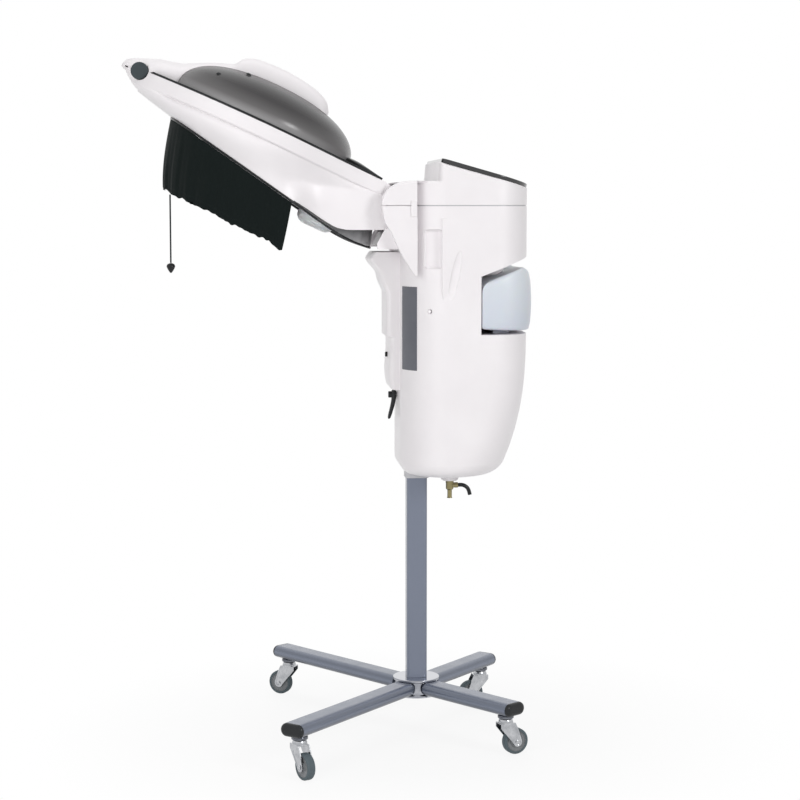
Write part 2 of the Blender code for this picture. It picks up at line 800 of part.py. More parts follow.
def make_sleeve(grey):
    width = sleeve_width()
    outlines = (
        round_square(width, COLUMN_CORNER + SLEEVE_WALL),
        round_square(COLUMN_WIDTH + 2 * RUN, COLUMN_CORNER),
    )
    low = HEAD_BOTTOM - SLEEVE_DROP
    sleeve = add("column_sleeve", sheet(outlines, SLEEVE_LENGTH), grey, at=(0, 0, low + SLEEVE_LENGTH / 2))
    cut(sleeve, rod(CLAMP_SCREW_RADIUS + RUN, (-width, 0, CLAMP_Z), (0, 0, CLAMP_Z)))


def cover_half_width(x):
    """Half width of the top cover's plan at a place along X."""
    if x < EAR_REAR:
        return HEAD_HALF_WIDTH + EAR_PROUD
    start = HEAD_REAR - REAR_CORNER
    if x <= start:
        return HEAD_HALF_WIDTH
    reach = min(x - start, REAR_CORNER)
    return HEAD_HALF_WIDTH - REAR_CORNER + math.sqrt(REAR_CORNER**2 - reach**2)


def console_top(x):
    return CONSOLE_FRONT_TOP - CONSOLE_SLOPE * (x - CONSOLE_FRONT)


def cover_sections():
    """Place along X, top height and console half width of the top cover's sections."""
    crown = EAR_FRONT + 0.052
    flat = HEAD_HALF_WIDTH - CONSOLE_CORNER
    sections = []
    for angle in (172, 155, 138, 120, 104, 90):
        turn = math.radians(angle)
        x = crown + 0.052 * math.cos(turn)
        sections.append((x, COVER_TOP - 0.042 + 0.042 * math.sin(turn), flat))
    sections += [(EAR_REAR - 0.0005, COVER_TOP, flat), (EAR_REAR + 0.0015, COVER_TOP, flat)]
    sections.append((CONSOLE_FRONT - CONSOLE_DRAFT / 2, COVER_TOP, flat))
    for angle in (0, 25, 50, 75, 90):
        turn = math.radians(angle)
        x = CONSOLE_FRONT + CONSOLE_DRAFT / 2 + CONSOLE_CORNER * (1 - math.cos(turn))
        sections.append((x, console_top(x) - (0.002 if angle == 0 else 0.0), flat + CONSOLE_CORNER * math.sin(turn)))
    start = HEAD_REAR - REAR_CORNER
    for angle in (0, 20, 38, 54, 68, 79, 86):
        x = start + REAR_CORNER * math.sin(math.radians(angle))
        sections.append((x, console_top(x), cover_half_width(x)))
    return sections


def cover_section(x, top, console_half):
    """One section of the top cover: a side, a shoulder at the ear's height, then the console's side and top."""
    half = cover_half_width(x)
    low = PART_LINE + SEAT / 2
    edge = min(COVER_ROUND, (top - low) * 0.4)
    shoulder = min(COVER_TOP, top)
    narrow = half - console_half
    right = [(half, low), (half, shoulder - edge)]
    if narrow < 0.001:
        right += [(half, shoulder - edge * 0.6), (half, shoulder - edge * 0.3)]
    else:
        inset = min(edge, narrow * 0.6)
        right += [(half - inset * 0.3, shoulder - edge * 0.3), (half - inset, shoulder)]
    rise = max(0.0, top - shoulder)
    corner = min(COVER_ROUND, rise * 0.6)
    for angle in (0, 30, 60, 90):
        turn = math.radians(angle)
        inward = max(corner, 0.002) * (1 - math.cos(turn))
        right.append((console_half - inward, top - corner + corner * math.sin(turn)))
    left = [(-y, z) for y, z in right]
    return [(x, y, z) for y, z in left + right[::-1]]


def make_top_cover(white):
    rings = [cover_section(*section) for section in cover_sections()]
    cover = add("top_cover", loft(rings, close_rings=False), white)
    thicken(cover, SKIN)
    slot_rear = CONSOLE_FRONT - CONSOLE_DRAFT / 2 - 0.0005
    low, high = (EAR_FRONT - 0.02, -EAR_INNER, PART_LINE - 0.02), (slot_rear, EAR_INNER, COVER_TOP + 0.02)
    slot = add("cut_top_cover", block(low, high), cutter=True)
    return boolean(cover, slot, "DIFFERENCE", "EXACT")


def panel_axes():
    """Frame on the console's sloping top: X down the slope, Z out of it."""
    slope = math.atan(CONSOLE_SLOPE)
    middle = (CONSOLE_FRONT + HEAD_REAR) / 2
    return (middle, 0.0, console_top(middle)), (0.0, slope, 0.0)


def panel_outline(inset, steps=7):
    """The control panel's outline on the sloping top, from the cover's own plan."""
    stretch = math.sqrt(1 + CONSOLE_SLOPE**2)
    middle = (CONSOLE_FRONT + HEAD_REAR) / 2
    front = CONSOLE_FRONT + 0.008 + inset
    width = HEAD_HALF_WIDTH - PANEL_INSET - inset
    corner = 0.025
    rear_corner = REAR_CORNER - PANEL_INSET - inset
    rear = HEAD_REAR - PANEL_INSET - inset
    right = arc((front + corner, width - corner), corner, 180, 90, 4)
    right += arc((rear - rear_corner, width - rear_corner), rear_corner, 90, 0, steps)
    outline = right + [Vector((point.x, -point.y)) for point in reversed(right)]
    return [Vector(((point.x - middle) * stretch, point.y)) for point in outline]


def make_panel(gloss, key_finish):
    place, turn = panel_axes()
    edge = 0.002
    levels = ((SEAT, 0.0), (PANEL_THICKNESS - edge, 0.0), (PANEL_THICKNESS - edge * 0.3, 0.0008), (PANEL_THICKNESS, edge))
    rings = [[(p.x, p.y, z) for p in panel_outline(inset)] for z, inset in levels]
    frame = empty("panel_frame", place, turn)
    panel = add("control_panel", loft(rings), gloss, parent=frame)
    for number, name in enumerate(("power", "timer")):
        y = (number - 0.5) * KEY_PITCH
        x = 0.045
        grow = RUN
        low = Vector((x - KEY_LENGTH / 2, y - KEY_WIDTH / 2, PANEL_THICKNESS - KEY_DEPTH))
        high = Vector((x + KEY_LENGTH / 2, y + KEY_WIDTH / 2, PANEL_THICKNESS + KEY_PROUD))
        well_low = low - Vector((grow, grow, KEY_TRAVEL + SEAT))
        well_high = high + Vector((grow, grow, KEY_PROUD))
        cut(panel, block(well_low, well_high), parent=frame)
        add("key_" + name, block(low, high, round_edges=0.0008), key_finish, parent=frame)
    board_low, board_high = (-0.060, -0.100, -SKIN - SEAT - 0.006), (0.040, 0.100, -SKIN - SEAT)
    return frame, board_low, board_high


def make_clips(white):
    for name, side in (("left", -1), ("right", 1)):
        inner = side * (HEAD_HALF_WIDTH + EAR_PROUD + SEAT)
        outer = inner + side * CLIP_THICKNESS
        low, high = sorted((inner, outer))
        corner_low = (EAR_REAR - CLIP_WIDTH - 0.001, low, PART_LINE - 0.7 * CLIP_LENGTH)
        corner_high = (EAR_REAR - 0.001, high, PART_LINE + 0.3 * CLIP_LENGTH)
        add("cover_clip_" + name, block(corner_low, corner_high, round_edges=0.001), white)


def make_cradle(white):
    """A folded sheet under and behind the hood's barrel, with the lip that the neck rests over."""
    start = math.degrees(math.atan2(-0.0321, -0.0357)) % 360
    inner = [LIP_LOW.copy()]
    inner += arc((PIVOT_X, PIVOT_Z), CRADLE_RADIUS, start, 360, 12)
    inner.append(Vector((PIVOT_X + CRADLE_RADIUS, COVER_TOP - SKIN)))
    outer = []
    for index, point in enumerate(inner):
        before = inner[max(index - 1, 0)]
        after = inner[min(index + 1, len(inner) - 1)]
        along = (after - before).normalized()
        outer.append(point + Vector((along.y, -along.x)) * CRADLE_SHEET)
    outline = inner + outer[::-1]
    half = EAR_INNER - SEAT
    add("hinge_cradle", plate_in_y(outline, -half, half), white)


def make_tank_bay(grey):
    gap = SEAT
    sheet_in = BAY_SHEET
    far = HEAD_REAR + 0.02
    outline = [
        (far, BAY_FLOOR),
        (BAY_FRONT, BAY_FLOOR),
        (BAY_FRONT, BAY_FRONT_TOP),
        (far, bay_top(far)),
        (far, bay_top(far) + sheet_in * 1.1),
        (BAY_FRONT - sheet_in, BAY_FRONT_TOP + sheet_in * 0.7),
        (BAY_FRONT - sheet_in, BAY_FLOOR - sheet_in),
        (far, BAY_FLOOR - sheet_in),
    ]
    bay = add("tank_bay", plate_in_y([Vector(p) for p in outline], -HEAD_HALF_WIDTH, HEAD_HALF_WIDTH), grey)
    low, high = BAY_FLOOR - 0.02, bay_top(far) + 0.02
    plan = full_plan(HEAD_FRONT, head_rear(BAY_FLOOR - sheet_in), HEAD_HALF_WIDTH, SKIN + gap)
    keep(bay, loft([[(p.x, p.y, z) for p in plan] for z in (low, high)]))
    return bay


def tank_plan(inset):
    front = BAY_FRONT + TANK_GAP + inset
    rear = HEAD_REAR + TANK_BULGE - inset
    width = HEAD_HALF_WIDTH - 0.002 - inset
    corner = TANK_CORNER - min(inset, TANK_CORNER / 2)
    rear_corner = REAR_CORNER - inset
    right = arc((front + corner, width - corner), corner, 180, 90, 3)
    right += arc((rear - rear_corner, width - rear_corner), rear_corner, 90, 0, 6)
    return right + [Vector((point.x, -point.y)) for point in reversed(right)]


def tank_top(x):
    limit = HEAD_REAR - 0.012
    rise = bay_top(min(x, limit)) - TANK_TOP_GAP
    return rise - max(0.0, x - limit) * 0.45


def make_tank(clear, grey):
    floor = BAY_FLOOR + SEAT
    rings = []
    for lift, inset in ((0.0, 0.006), (0.002, 0.0015), (0.006, 0.0)):
        rings.append([(p.x, p.y, floor + lift) for p in tank_plan(inset)])
    for drop, inset in ((0.010, 0.0), (0.003, 0.002), (0.0, 0.008)):
        rings.append([(p.x, p.y, tank_top(p.x) - drop) for p in tank_plan(inset)])
    tank = add("water_tank", loft(rings), clear)
    thicken(tank, TANK_WALL)
    x = BAY_FRONT + 0.042
    slope = -math.atan(BAY_SLOPE)
    frame = empty("filler_frame", (x, 0, tank_top(x)), (0, slope, 0))
    cut(tank, rod(FILLER_RADIUS, (0, 0, -0.012), (0, 0, 0.010)), parent=frame)
    plug = FILLER_RADIUS - RUN
    profile = [
        (0, CAP_HEIGHT),
        (FILLER_RADIUS + FILLER_RIM - 0.001, CAP_HEIGHT),
        (FILLER_RADIUS + FILLER_RIM, CAP_HEIGHT - 0.001),
        (FILLER_RADIUS + FILLER_RIM, SEAT),
        (plug, SEAT),
        (plug, -TANK_WALL),
        (0, -TANK_WALL),
    ]
    add("tank_cap", turned(profile), grey, parent=frame)


def front_cover_profile():
    """Height and projection of the front cover, bottom to top: clamp bulge, step, then the chin."""
    low = FRONT_COVER_PROUD
    high = CLAMP_COVER_PROUD
    return (
        (FRONT_COVER_BOTTOM, low - 0.006),
        (FRONT_COVER_BOTTOM + 0.006, low - 0.001),
        (FRONT_COVER_BOTTOM + 0.034, low + 0.0025),
        (BUTTON_Z + 0.009, low),
        (CLAMP_STEP_Z - 0.001, low),
        (CLAMP_STEP_Z + 0.002, high),
        (CHIN_START_Z, high),
        (CHIN_START_Z + 0.020, high + 0.009),
        (CHIN_START_Z + 0.038, high + 0.014),
        (CHIN_Z - 0.011, CHIN_PROUD - 0.007),
        (CHIN_Z, CHIN_PROUD),
        (FRONT_COVER_TOP - 0.008, CHIN_PROUD - 0.002),
        (FRONT_COVER_TOP, CHIN_PROUD - 0.008),
    )


def make_front_cover(white):
    rings = []
    back = HEAD_FRONT - SEAT
    for z, proud in front_cover_profile():
        front = HEAD_FRONT - proud
        corner = min(FRONT_COVER_CORNER, (back - front) * 0.9)
        half = FRONT_COVER_HALF_WIDTH
        right = [Vector((back, half))] + arc((front + corner, half - corner), corner, 90, 180, 4)
        left = [Vector((p.x, -p.y)) for p in reversed(right)]
        rings.append([(p.x, p.y, z) for p in right + left])
    cover = add("front_cover", loft(rings, close_rings=False), white)
    thicken(cover, FRONT_COVER_SKIN)
    cut(cover, rod(BUTTON_RADIUS + RUN, (HEAD_FRONT - 0.03, 0, BUTTON_Z), (HEAD_FRONT - 0.006, 0, BUTTON_Z)))


def make_button(black):
    face = HEAD_FRONT - FRONT_COVER_PROUD - 0.001 - BUTTON_PROUD
    back = HEAD_FRONT - FRONT_COVER_PROUD + FRONT_COVER_SKIN + SEAT
    flange = back + 0.0015
    profile = [
        (0, 0.0),
        (BUTTON_RADIUS - 0.001, 0.0),
        (BUTTON_RADIUS, -0.001),
        (BUTTON_RADIUS, face - back),
        (BUTTON_RADIUS + 0.002, face - back),
        (BUTTON_RADIUS + 0.002, face - flange),
        (0, face - flange),
    ]
    add("front_button", turned(profile, SMALL_ROUND), black, at=(face, 0, BUTTON_Z), turn=(0, math.radians(-90), 0))


def make_clamp(black, zinc):
    """Screw that presses on the column, with the lever that turns it, about the X axis."""
    tip = -COLUMN_WIDTH / 2 - 0.0008
    hub_in = HEAD_FRONT - 0.002
    hub_out = hub_in - CLAMP_LEVER_THICKNESS
    axis = empty("clamp_axis", (0, 0, CLAMP_Z))
    add("clamp_screw", rod(CLAMP_SCREW_RADIUS, (hub_out + 0.003, 0, 0), (tip, 0, 0), 12), zinc, parent=axis)
    half = CLAMP_LEVER_WIDTH / 2
    end = arc((0, -CLAMP_LEVER_LENGTH + half), half, 180, 360, 6)
    hub = arc((0, 0), CLAMP_HUB_RADIUS, -40, 220, 12)
    outline = [Vector((p.x, p.y)) for p in hub + end]
    hole = arc((0, 0), CLAMP_SCREW_RADIUS + SEAT, 0, 330, 11)
    mesh = sheet((outline, hole), CLAMP_LEVER_THICKNESS)
    mesh.transform(Matrix.Rotation(math.radians(90), 4, "X"))
    mesh.transform(Matrix.Rotation(math.radians(90), 4, "Z"))
    add("clamp_lever", mesh, black, parent=axis, at=((hub_in + hub_out) / 2, 0, 0))


def make_boiler(steel, grey):
    floor = HEAD_BOTTOM + SKIN + SEAT
    top = floor + BOILER_HEIGHT
    dish = 0.012
    wall = BOILER_WALL
    inner = BOILER_RADIUS - wall
    hole = STEAM_PIPE_RADIUS * 0.7
    profile = [
        (0, floor + wall),
        (inner, floor + wall),
        (inner, top - dish),
        (inner - dish, top - wall),
        (hole, top - wall),
        (hole, top),
        (BOILER_RADIUS - dish, top),
        (BOILER_RADIUS, top - dish),
        (BOILER_RADIUS, floor),
        (0, floor),
    ]
    add("boiler", turned(profile), steel, at=(BOILER_X, 0, 0))
    start = Vector((BOILER_X, 0, top + SEAT))
    knee = Vector((start.x, 0, PIVOT_Z - 0.030))
    end = Vector((PIVOT_X + CRADLE_RADIUS + CRADLE_SHEET + SEAT, 0, PIVOT_Z))
    bend = 0.030
    points = [start, start.lerp(knee, 0.5)]
    points += [Vector((p.x, 0, p.y)) for p in arc((knee.x - bend, end.z - bend), bend, 0, 90, 5)]
    add("steam_pipe", tube([*points, end], STEAM_PIPE_RADIUS), grey)
    high = Vector((BAY_FRONT + 0.010, 0, BAY_FLOOR - BAY_SHEET - SEAT))
    low = Vector((BOILER_X + 0.024, 0, top + SEAT))
    drop = Vector((0, 0, 0.030))
    add("feed_pipe", tube([low, low + drop, high - drop, high], FEED_PIPE_RADIUS), grey)


def make_drain(left_half, brass, white, black):
    top = HEAD_BOTTOM - SEAT
    bore = DRAIN_SHANK_RADIUS + SEAT
    at = (DRAIN_X, DRAIN_Y, 0)
    low = top - DRAIN_BOSS_DEPTH
    boss = [
        (bore, top),
        (DRAIN_BOSS_RADIUS, top),
        (DRAIN_BOSS_RADIUS - 0.002, low + 0.003),
        (DRAIN_BOSS_RADIUS - 0.005, low),
        (bore, low),
    ]
    add("drain_boss", turned(boss, bored=True), white, at=at)
    cut(left_half, rod(bore, (DRAIN_X, DRAIN_Y, HEAD_BOTTOM - 0.01), (DRAIN_X, DRAIN_Y, HEAD_BOTTOM + 0.02)))
    shank_top = HEAD_BOTTOM + SKIN
    body_top = low - SEAT
    spout = HEAD_BOTTOM - DRAIN_DROP
    valve_z = body_top - 0.009
    profile = [
        (0, shank_top),
        (DRAIN_SHANK_RADIUS, shank_top),
        (DRAIN_SHANK_RADIUS, body_top),
        (DRAIN_BODY_RADIUS, body_top),
        (DRAIN_BODY_RADIUS, valve_z - 0.007),
        (0.0045, valve_z - 0.010),
        (0.0045, spout + 0.002),
        (0.0055, spout),
        (0, spout),
    ]
    valve = add("drain_valve", turned(profile, SMALL_ROUND), brass, at=at)
    stem_end = DRAIN_X + DRAIN_STEM_REACH
    join(valve, rod(0.0055, (DRAIN_X, DRAIN_Y, valve_z), (stem_end - 0.004, DRAIN_Y, valve_z), 12))
    axis = empty("drain_axis", (stem_end, DRAIN_Y, valve_z))
    start = -0.004 + SEAT
    path = [(start, 0, 0), (0.004, 0, 0), (0.010, 0, -0.002), (0.015, 0, -0.006), (0.018, 0, -0.012), (0.020, 0, -0.020)]
    add("drain_lever", tube(path, 0.004), black, parent=axis)


def make_gland(right_half, black):
    shank = GLAND_RADIUS - 0.003
    top = HEAD_BOTTOM + SKIN + 0.004
    seat = HEAD_BOTTOM - SEAT
    low = seat - 0.010
    profile = [
        (0, top),
        (shank, top),
        (shank, seat),
        (GLAND_RADIUS, seat),
        (GLAND_RADIUS, seat - 0.004),
        (GLAND_RADIUS - 0.004, low),
        (GLAND_BORE, low),
        (GLAND_BORE, low + 0.003),
        (0, low + 0.003),
    ]
    add("cord_gland", turned(profile, SMALL_ROUND), black, at=(GLAND_X, GLAND_Y, 0))
    hole = rod(shank + SEAT, (GLAND_X, GLAND_Y, HEAD_BOTTOM - 0.01), (GLAND_X, GLAND_Y, HEAD_BOTTOM + 0.02))
    cut(right_half, hole)


def make_head(finishes):
    white, grey, black = finishes["white"], finishes["grey"], finishes["black"]
    left = make_housing("housing_left", -1, white)
    right = make_housing("housing_right", 1, white)
    make_sleeve(grey)
    make_top_cover(white)
    frame, board_low, board_high = make_panel(finishes["gloss_black"], finishes["key"])
    add("control_board", block(board_low, board_high), finishes["board"], parent=frame)
    make_clips(white)
    make_cradle(white)
    make_tank_bay(white)
    make_tank(finishes["clear"], white)
    make_front_cover(white)
    make_button(black)
    make_clamp(black, finishes["zinc"])
    make_boiler(finishes["steel"], grey)
    make_drain(left, finishes["brass"], white, black)
    make_gland(right, black)
    end = HEAD_HALF_WIDTH - 0.005 - SEAT
    pin = rod(PIN_RADIUS, (PIVOT_X, -end, PIVOT_Z), (PIVOT_X, end, PIVOT_Z))
    add("hood_pin", pin, finishes["zinc"])


# Hood, in its own frame about the tilt axis


def tray_half_width(x):
    """Half width of the tray's plan: a beak at the nose, widest in the middle, drawn in to the neck."""
    if x <= TRAY_WIDEST:
        reach = (TRAY_WIDEST - x) / (TRAY_WIDEST - TRAY_NOSE)
        return TRAY_HALF_WIDTH * max(0.0, 1 - reach**1.8) ** 0.75
    share = (x - TRAY_WIDEST) / (TRAY_REAR - TRAY_WIDEST)
    return BAND_HALF_WIDTH + (TRAY_HALF_WIDTH - BAND_HALF_WIDTH) * (0.5 + 0.5 * math.cos(math.pi * share))


def rim_point(step, steps):
    """Point of the hood's opening, from the front (0) round to the rear (steps)."""
    turn = math.pi * step / steps
    reach = RIM_WIDEST - RIM_FRONT if turn < math.pi / 2 else RIM_REAR - RIM_WIDEST
    x = RIM_WIDEST - reach * math.copysign(abs(math.cos(turn)) ** (2 / RIM_POWER), math.cos(turn))
    y = RIM_HALF_WIDTH * abs(math.sin(turn)) ** (2 / RIM_POWER)
    return Vector((x, y, rim_height(x)))


def rim_height(x):
    """Height of the opening's edge: a straight slope that turns up at the heel."""
    heel = max(0.0, (x - RIM_HEEL_START) / (RIM_REAR - RIM_HEEL_START))
    return RIM_FRONT_Z + RIM_SLOPE * (x - RIM_FRONT) + RIM_HEEL_RISE * heel**2


def tray_point(step, steps, inset=0.0):
    """Point of the tray's outer plan that goes with the same step of the opening."""
    rear_steps = 4
    along = steps - rear_steps
    if step <= along:
        middle = (TRAY_NOSE + TRAY_REAR) / 2
        half = (TRAY_REAR - TRAY_NOSE) / 2
        x = middle - half * math.cos(math.pi * step / along)
        return Vector((x, tray_half_width(x) - inset if x > TRAY_NOSE else 0.0))
    return Vector((TRAY_REAR, (BAND_HALF_WIDTH - inset) * (steps - step) / rear_steps))


def whole_ring(half):
    """A closed ring from its left half, by mirroring the points between the two ends."""
    left = [Vector((p.x, -p.y, p.z)) for p in half]
    right = [Vector((p.x, p.y, p.z)) for p in half[-2:0:-1]]
    return left + right


def tray_rings(steps=22):
    outer = [tray_point(step, steps) for step in range(steps + 1)]
    ledge = [tray_point(step, steps, BAND_LEDGE) for step in range(steps + 1)]
    rim = [rim_point(step, steps) for step in range(steps + 1)]
    low = SEAM_Z - BAND_DEPTH
    rings = [
        [Vector((p.x, p.y, SEAM_Z)) for p in outer],
        [Vector((p.x, p.y, low)) for p in outer],
        [Vector((p.x, p.y, low - 0.003)) for p in ledge],
    ]
    for share, swell in ((0.45, 0.010), (0.78, 0.007)):
        row = []
        for above, below in zip(ledge, rim):
            point = Vector((above.x, above.y, low - 0.003)).lerp(below, share)
            side = swell * min(1.0, point.y / 0.05)
            ahead = swell * min(1.0, max(0.0, (RIM_FRONT + 0.10 - point.x) / 0.10))
            row.append(point + Vector((-ahead, side, 0)))
        rings.append(row)
    rings.append(rim)
    return [whole_ring(ring) for ring in rings]


def neck_outline():
    """Side view of the neck: a flat top, the round barrel on the tilt axis, a sloping underside."""
    barrel = arc((0, 0), BARREL_RADIUS, 90, -110, 14)
    foot = Vector((-0.020, -0.0385))
    return [Vector((NECK_START, BARREL_RADIUS)), *barrel, foot, NECK_LOW.copy(), Vector((NECK_START, NECK_LOW.y + 0.003))]


def neck_hollow():
    inner = BARREL_RADIUS - BARREL_WALL
    barrel = arc((0, 0), inner, 90, -120, 12)
    return [Vector((NECK_START - 0.02, inner)), *barrel, Vector((-0.045, -0.15)), Vector((NECK_START - 0.02, -0.15))]


def make_tray(hood, white):
    tray = add("hood_tray", loft(tray_rings(), cap_start=False, cap_end=False), white, parent=hood)
    thicken(tray, TRAY_SKIN)
    hollow = NECK_HALF_WIDTH - NECK_PLATE
    neck = add("neck_pattern", plate_in_y(neck_outline(), -NECK_HALF_WIDTH, NECK_HALF_WIDTH), parent=hood, cutter=True)
    cut(neck, plate_in_y(neck_hollow(), -hollow, hollow), parent=hood)
    boolean(tray, neck, "UNION")
    reach = NECK_HALF_WIDTH + 0.01
    cut(tray, rod(PIN_RADIUS + RUN, (0, -reach, 0), (0, reach, 0)), parent=hood)
    drop = math.tan(NOSE_SWING)
    back = HINGE_X + 0.013
    ahead = TRAY_NOSE - 0.02
    wedge = [
        Vector((back, SEAM_Z + 0.01)),
        Vector((back, HINGE_Z - 0.012)),
        Vector((HINGE_X - 0.004, HINGE_Z - 0.0125)),
        Vector((ahead, HINGE_Z - 0.012 + (ahead - HINGE_X) * drop)),
        Vector((ahead, SEAM_Z + 0.01)),
    ]
    cut(tray, plate_in_y(wedge, -0.09, 0.09), parent=hood)
    for side in (-1, 1):
        join(tray, lug_mesh(side), parent=hood)
    cut(tray, rod(HINGE_PIN_RADIUS + SEAT, (HINGE_X, -0.08, HINGE_Z), (HINGE_X, 0.08, HINGE_Z), 12), parent=hood)
    for side in (-1, 1):
        start, end = side * (LUG_OUTER + SEAT / 2), side * 0.09
        seat = rod(KNOB_RADIUS + 0.001, (HINGE_X, start, HINGE_Z), (HINGE_X, end, HINGE_Z), ROUND)
        cut(tray, seat, parent=hood)
    return tray


def lug_mesh(side):
    """A round lug for the cover's hinge pin, with a web back into the nose."""
    eye = arc((HINGE_X, HINGE_Z), LUG_RADIUS, 90, 250, 8)
    web = [Vector((HINGE_X + 0.030, SEAM_Z - 0.026)), Vector((HINGE_X + 0.030, SEAM_Z - 0.0005))]
    return plate_in_y([*eye, *web, Vector((HINGE_X + 0.012, SEAM_Z - 0.0005))], side * LUG_INNER, side * LUG_OUTER)


def make_bead(hood, black, steps=24):
    half = [rim_point(step, steps) - Vector((0, 0, BEAD_RADIUS + SEAT)) for step in range(steps + 1)]
    add("rim_seal", tube(whole_ring(half), BEAD_RADIUS, 1, cyclic=True), black, parent=hood)


def make_outlet(hood, white, clear):
    """Steam nozzle from the rear of the bowl, ending in a clear dish under the rim."""
    top = OUTLET_Z + OUTLET_DEPTH
    inner = OUTLET_RADIUS - OUTLET_SKIN
    dish = [
        (OUTLET_RADIUS, top),
        (OUTLET_RADIUS - 0.003, OUTLET_Z + 0.008),
        (OUTLET_RADIUS - 0.014, OUTLET_Z),
        (0, OUTLET_Z),
        (0, OUTLET_Z + OUTLET_SKIN),
        (inner - 0.013, OUTLET_Z + OUTLET_SKIN),
        (inner - 0.003, OUTLET_Z + 0.009),
        (inner, top),
        (OUTLET_RADIUS, top),
    ]
    add("outlet_dish", turned(dish[:-1], bored=True), clear, parent=hood, at=(OUTLET_X, 0, 0))
    level = top + SEAT + NOZZLE_RADIUS
    rear = rear_wall_x(level + NOZZLE_RADIUS) - 1.05 * TRAY_SKIN - SEAT
    add("steam_nozzle", rod(NOZZLE_RADIUS, (OUTLET_X - 0.010, 0, level), (rear, 0, level)), white, parent=hood)


def rear_wall_x(z):
    """Where the bowl's rear wall stands on the centre plane at a height."""
    low = SEAM_Z - BAND_DEPTH - 0.003
    share = min(1.0, max(0.0, (low - z) / (low - rim_height(RIM_REAR))))
    return TRAY_REAR + (RIM_REAR - TRAY_REAR) * share


def curtain_path(count):
    """Points and outward directions along the opening, from the rear left round the front to the rear right."""
    steps = 200
    half = [rim_point(step, steps) for step in range(steps + 1)]
    run = [p for p in half if p.x <= CURTAIN_REAR]
    line = [Vector((p.x, -p.y, p.z)) for p in reversed(run)] + [p.copy() for p in run[1:]]
    lengths = [0.0]
    for first, second in zip(line, line[1:]):
        lengths.append(lengths[-1] + (second - first).length)
    path = []
    place = 0
    for number in range(count + 1):
        target = lengths[-1] * number / count
        while place < len(line) - 2 and lengths[place + 1] < target:
            place += 1
        share = (target - lengths[place]) / (lengths[place + 1] - lengths[place])
        along = (line[place + 1] - line[place]).normalized()
        path.append((line[place].lerp(line[place + 1], share), Vector((-along.y, along.x, 0)).normalized(), number / count))
    return path


def curtain_drop(x):
    share = (x - RIM_FRONT) / (CURTAIN_REAR - RIM_FRONT)
    return CURTAIN_FRONT_DROP + (CURTAIN_REAR_DROP - CURTAIN_FRONT_DROP) * share


def curtain_point(base, outward, share, fall):
    """A point of the cloth: it hangs a little forwards of plumb, with folds that deepen to the hem."""
    lean = HOOD_TILT - CURTAIN_LEAN
    down = Vector((math.sin(lean), 0, -math.cos(lean)))
    top = base + Vector((0, 0, -2 * (BEAD_RADIUS + SEAT)))
    wave = math.sin(2 * math.pi * CURTAIN_FOLDS * share) * CURTAIN_FOLD_DEPTH * fall**1.2
    draw = CURTAIN_DRAW_IN * fall**3
    return top + down * curtain_drop(base.x) * fall + outward * (wave - draw)


def make_curtain(hood, cloth):
    rows = 5
    path = curtain_path(5 * CURTAIN_FOLDS)
    rings = []
    for row in range(rows + 1):
        rings.append([curtain_point(*point, row / rows) for point in path])
    curtain = add("curtain", loft(rings, close_rings=False, cap_start=False, cap_end=False), cloth, parent=hood)
    step = curtain.modifiers.new("cloth", "SOLIDIFY")
    step.thickness = CURTAIN_THICKNESS
    step.offset = 0.0


def make_drawstring(hood, cloth, black):
    """A short tie that hangs from the gathered hem, with its toggle."""
    path = curtain_path(5 * CURTAIN_FOLDS)
    anchor = next(point for point in path if point[0].x < RIM_FRONT + 0.026)
    hem = curtain_point(*anchor, 1.0)
    down = Vector((math.sin(HOOD_TILT), 0, -math.cos(HOOD_TILT)))
    start = hem + down * (CURTAIN_THICKNESS / 2 + SEAT)
    end = start + down * STRING_LENGTH
    count = 12
    points = [start.lerp(end, number / count) for number in range(count + 1)]
    add("drawstring", tube(points, STRING_RADIUS), cloth, parent=hood)
    profile = [
        (0, 0),
        (0.003, 0),
        (TOGGLE_RADIUS * 0.8, -0.003),
        (TOGGLE_RADIUS, -0.008),
        (TOGGLE_RADIUS * 0.7, -0.014),
        (0.002, -TOGGLE_LENGTH),
        (0, -TOGGLE_LENGTH),
    ]
    toggle = turned(profile, SMALL_ROUND)
    add("drawstring_toggle", toggle, black, parent=hood, at=end + down * SEAT, turn=(0, -HOOD_TILT, 0))


# Dome cover, on the hood's nose hinge


def dome_rings(grow, foot, rings=7, sides=28):
    """Rings of the round dome: an upright foot, steep sides and a flat crown."""
    made = []
    heights = [(DOME_RADIUS + grow, DOME_BASE - foot)]
    for number in range(rings):
        turn = math.radians(86.0) * number / (rings - 1)
        radius = (DOME_RADIUS + grow) * math.cos(turn) ** (2 / 2.4)
        heights.append((radius, DOME_BASE + DOME_FOOT + (DOME_HEIGHT - DOME_FOOT + grow) * math.sin(turn)))
    for radius, z in heights:
        ring = []
        for side in range(sides):
            angle = 2 * math.pi * side / sides
            ring.append((DOME_X + radius * math.cos(angle), radius * math.sin(angle), z))
        made.append(ring)
    return made


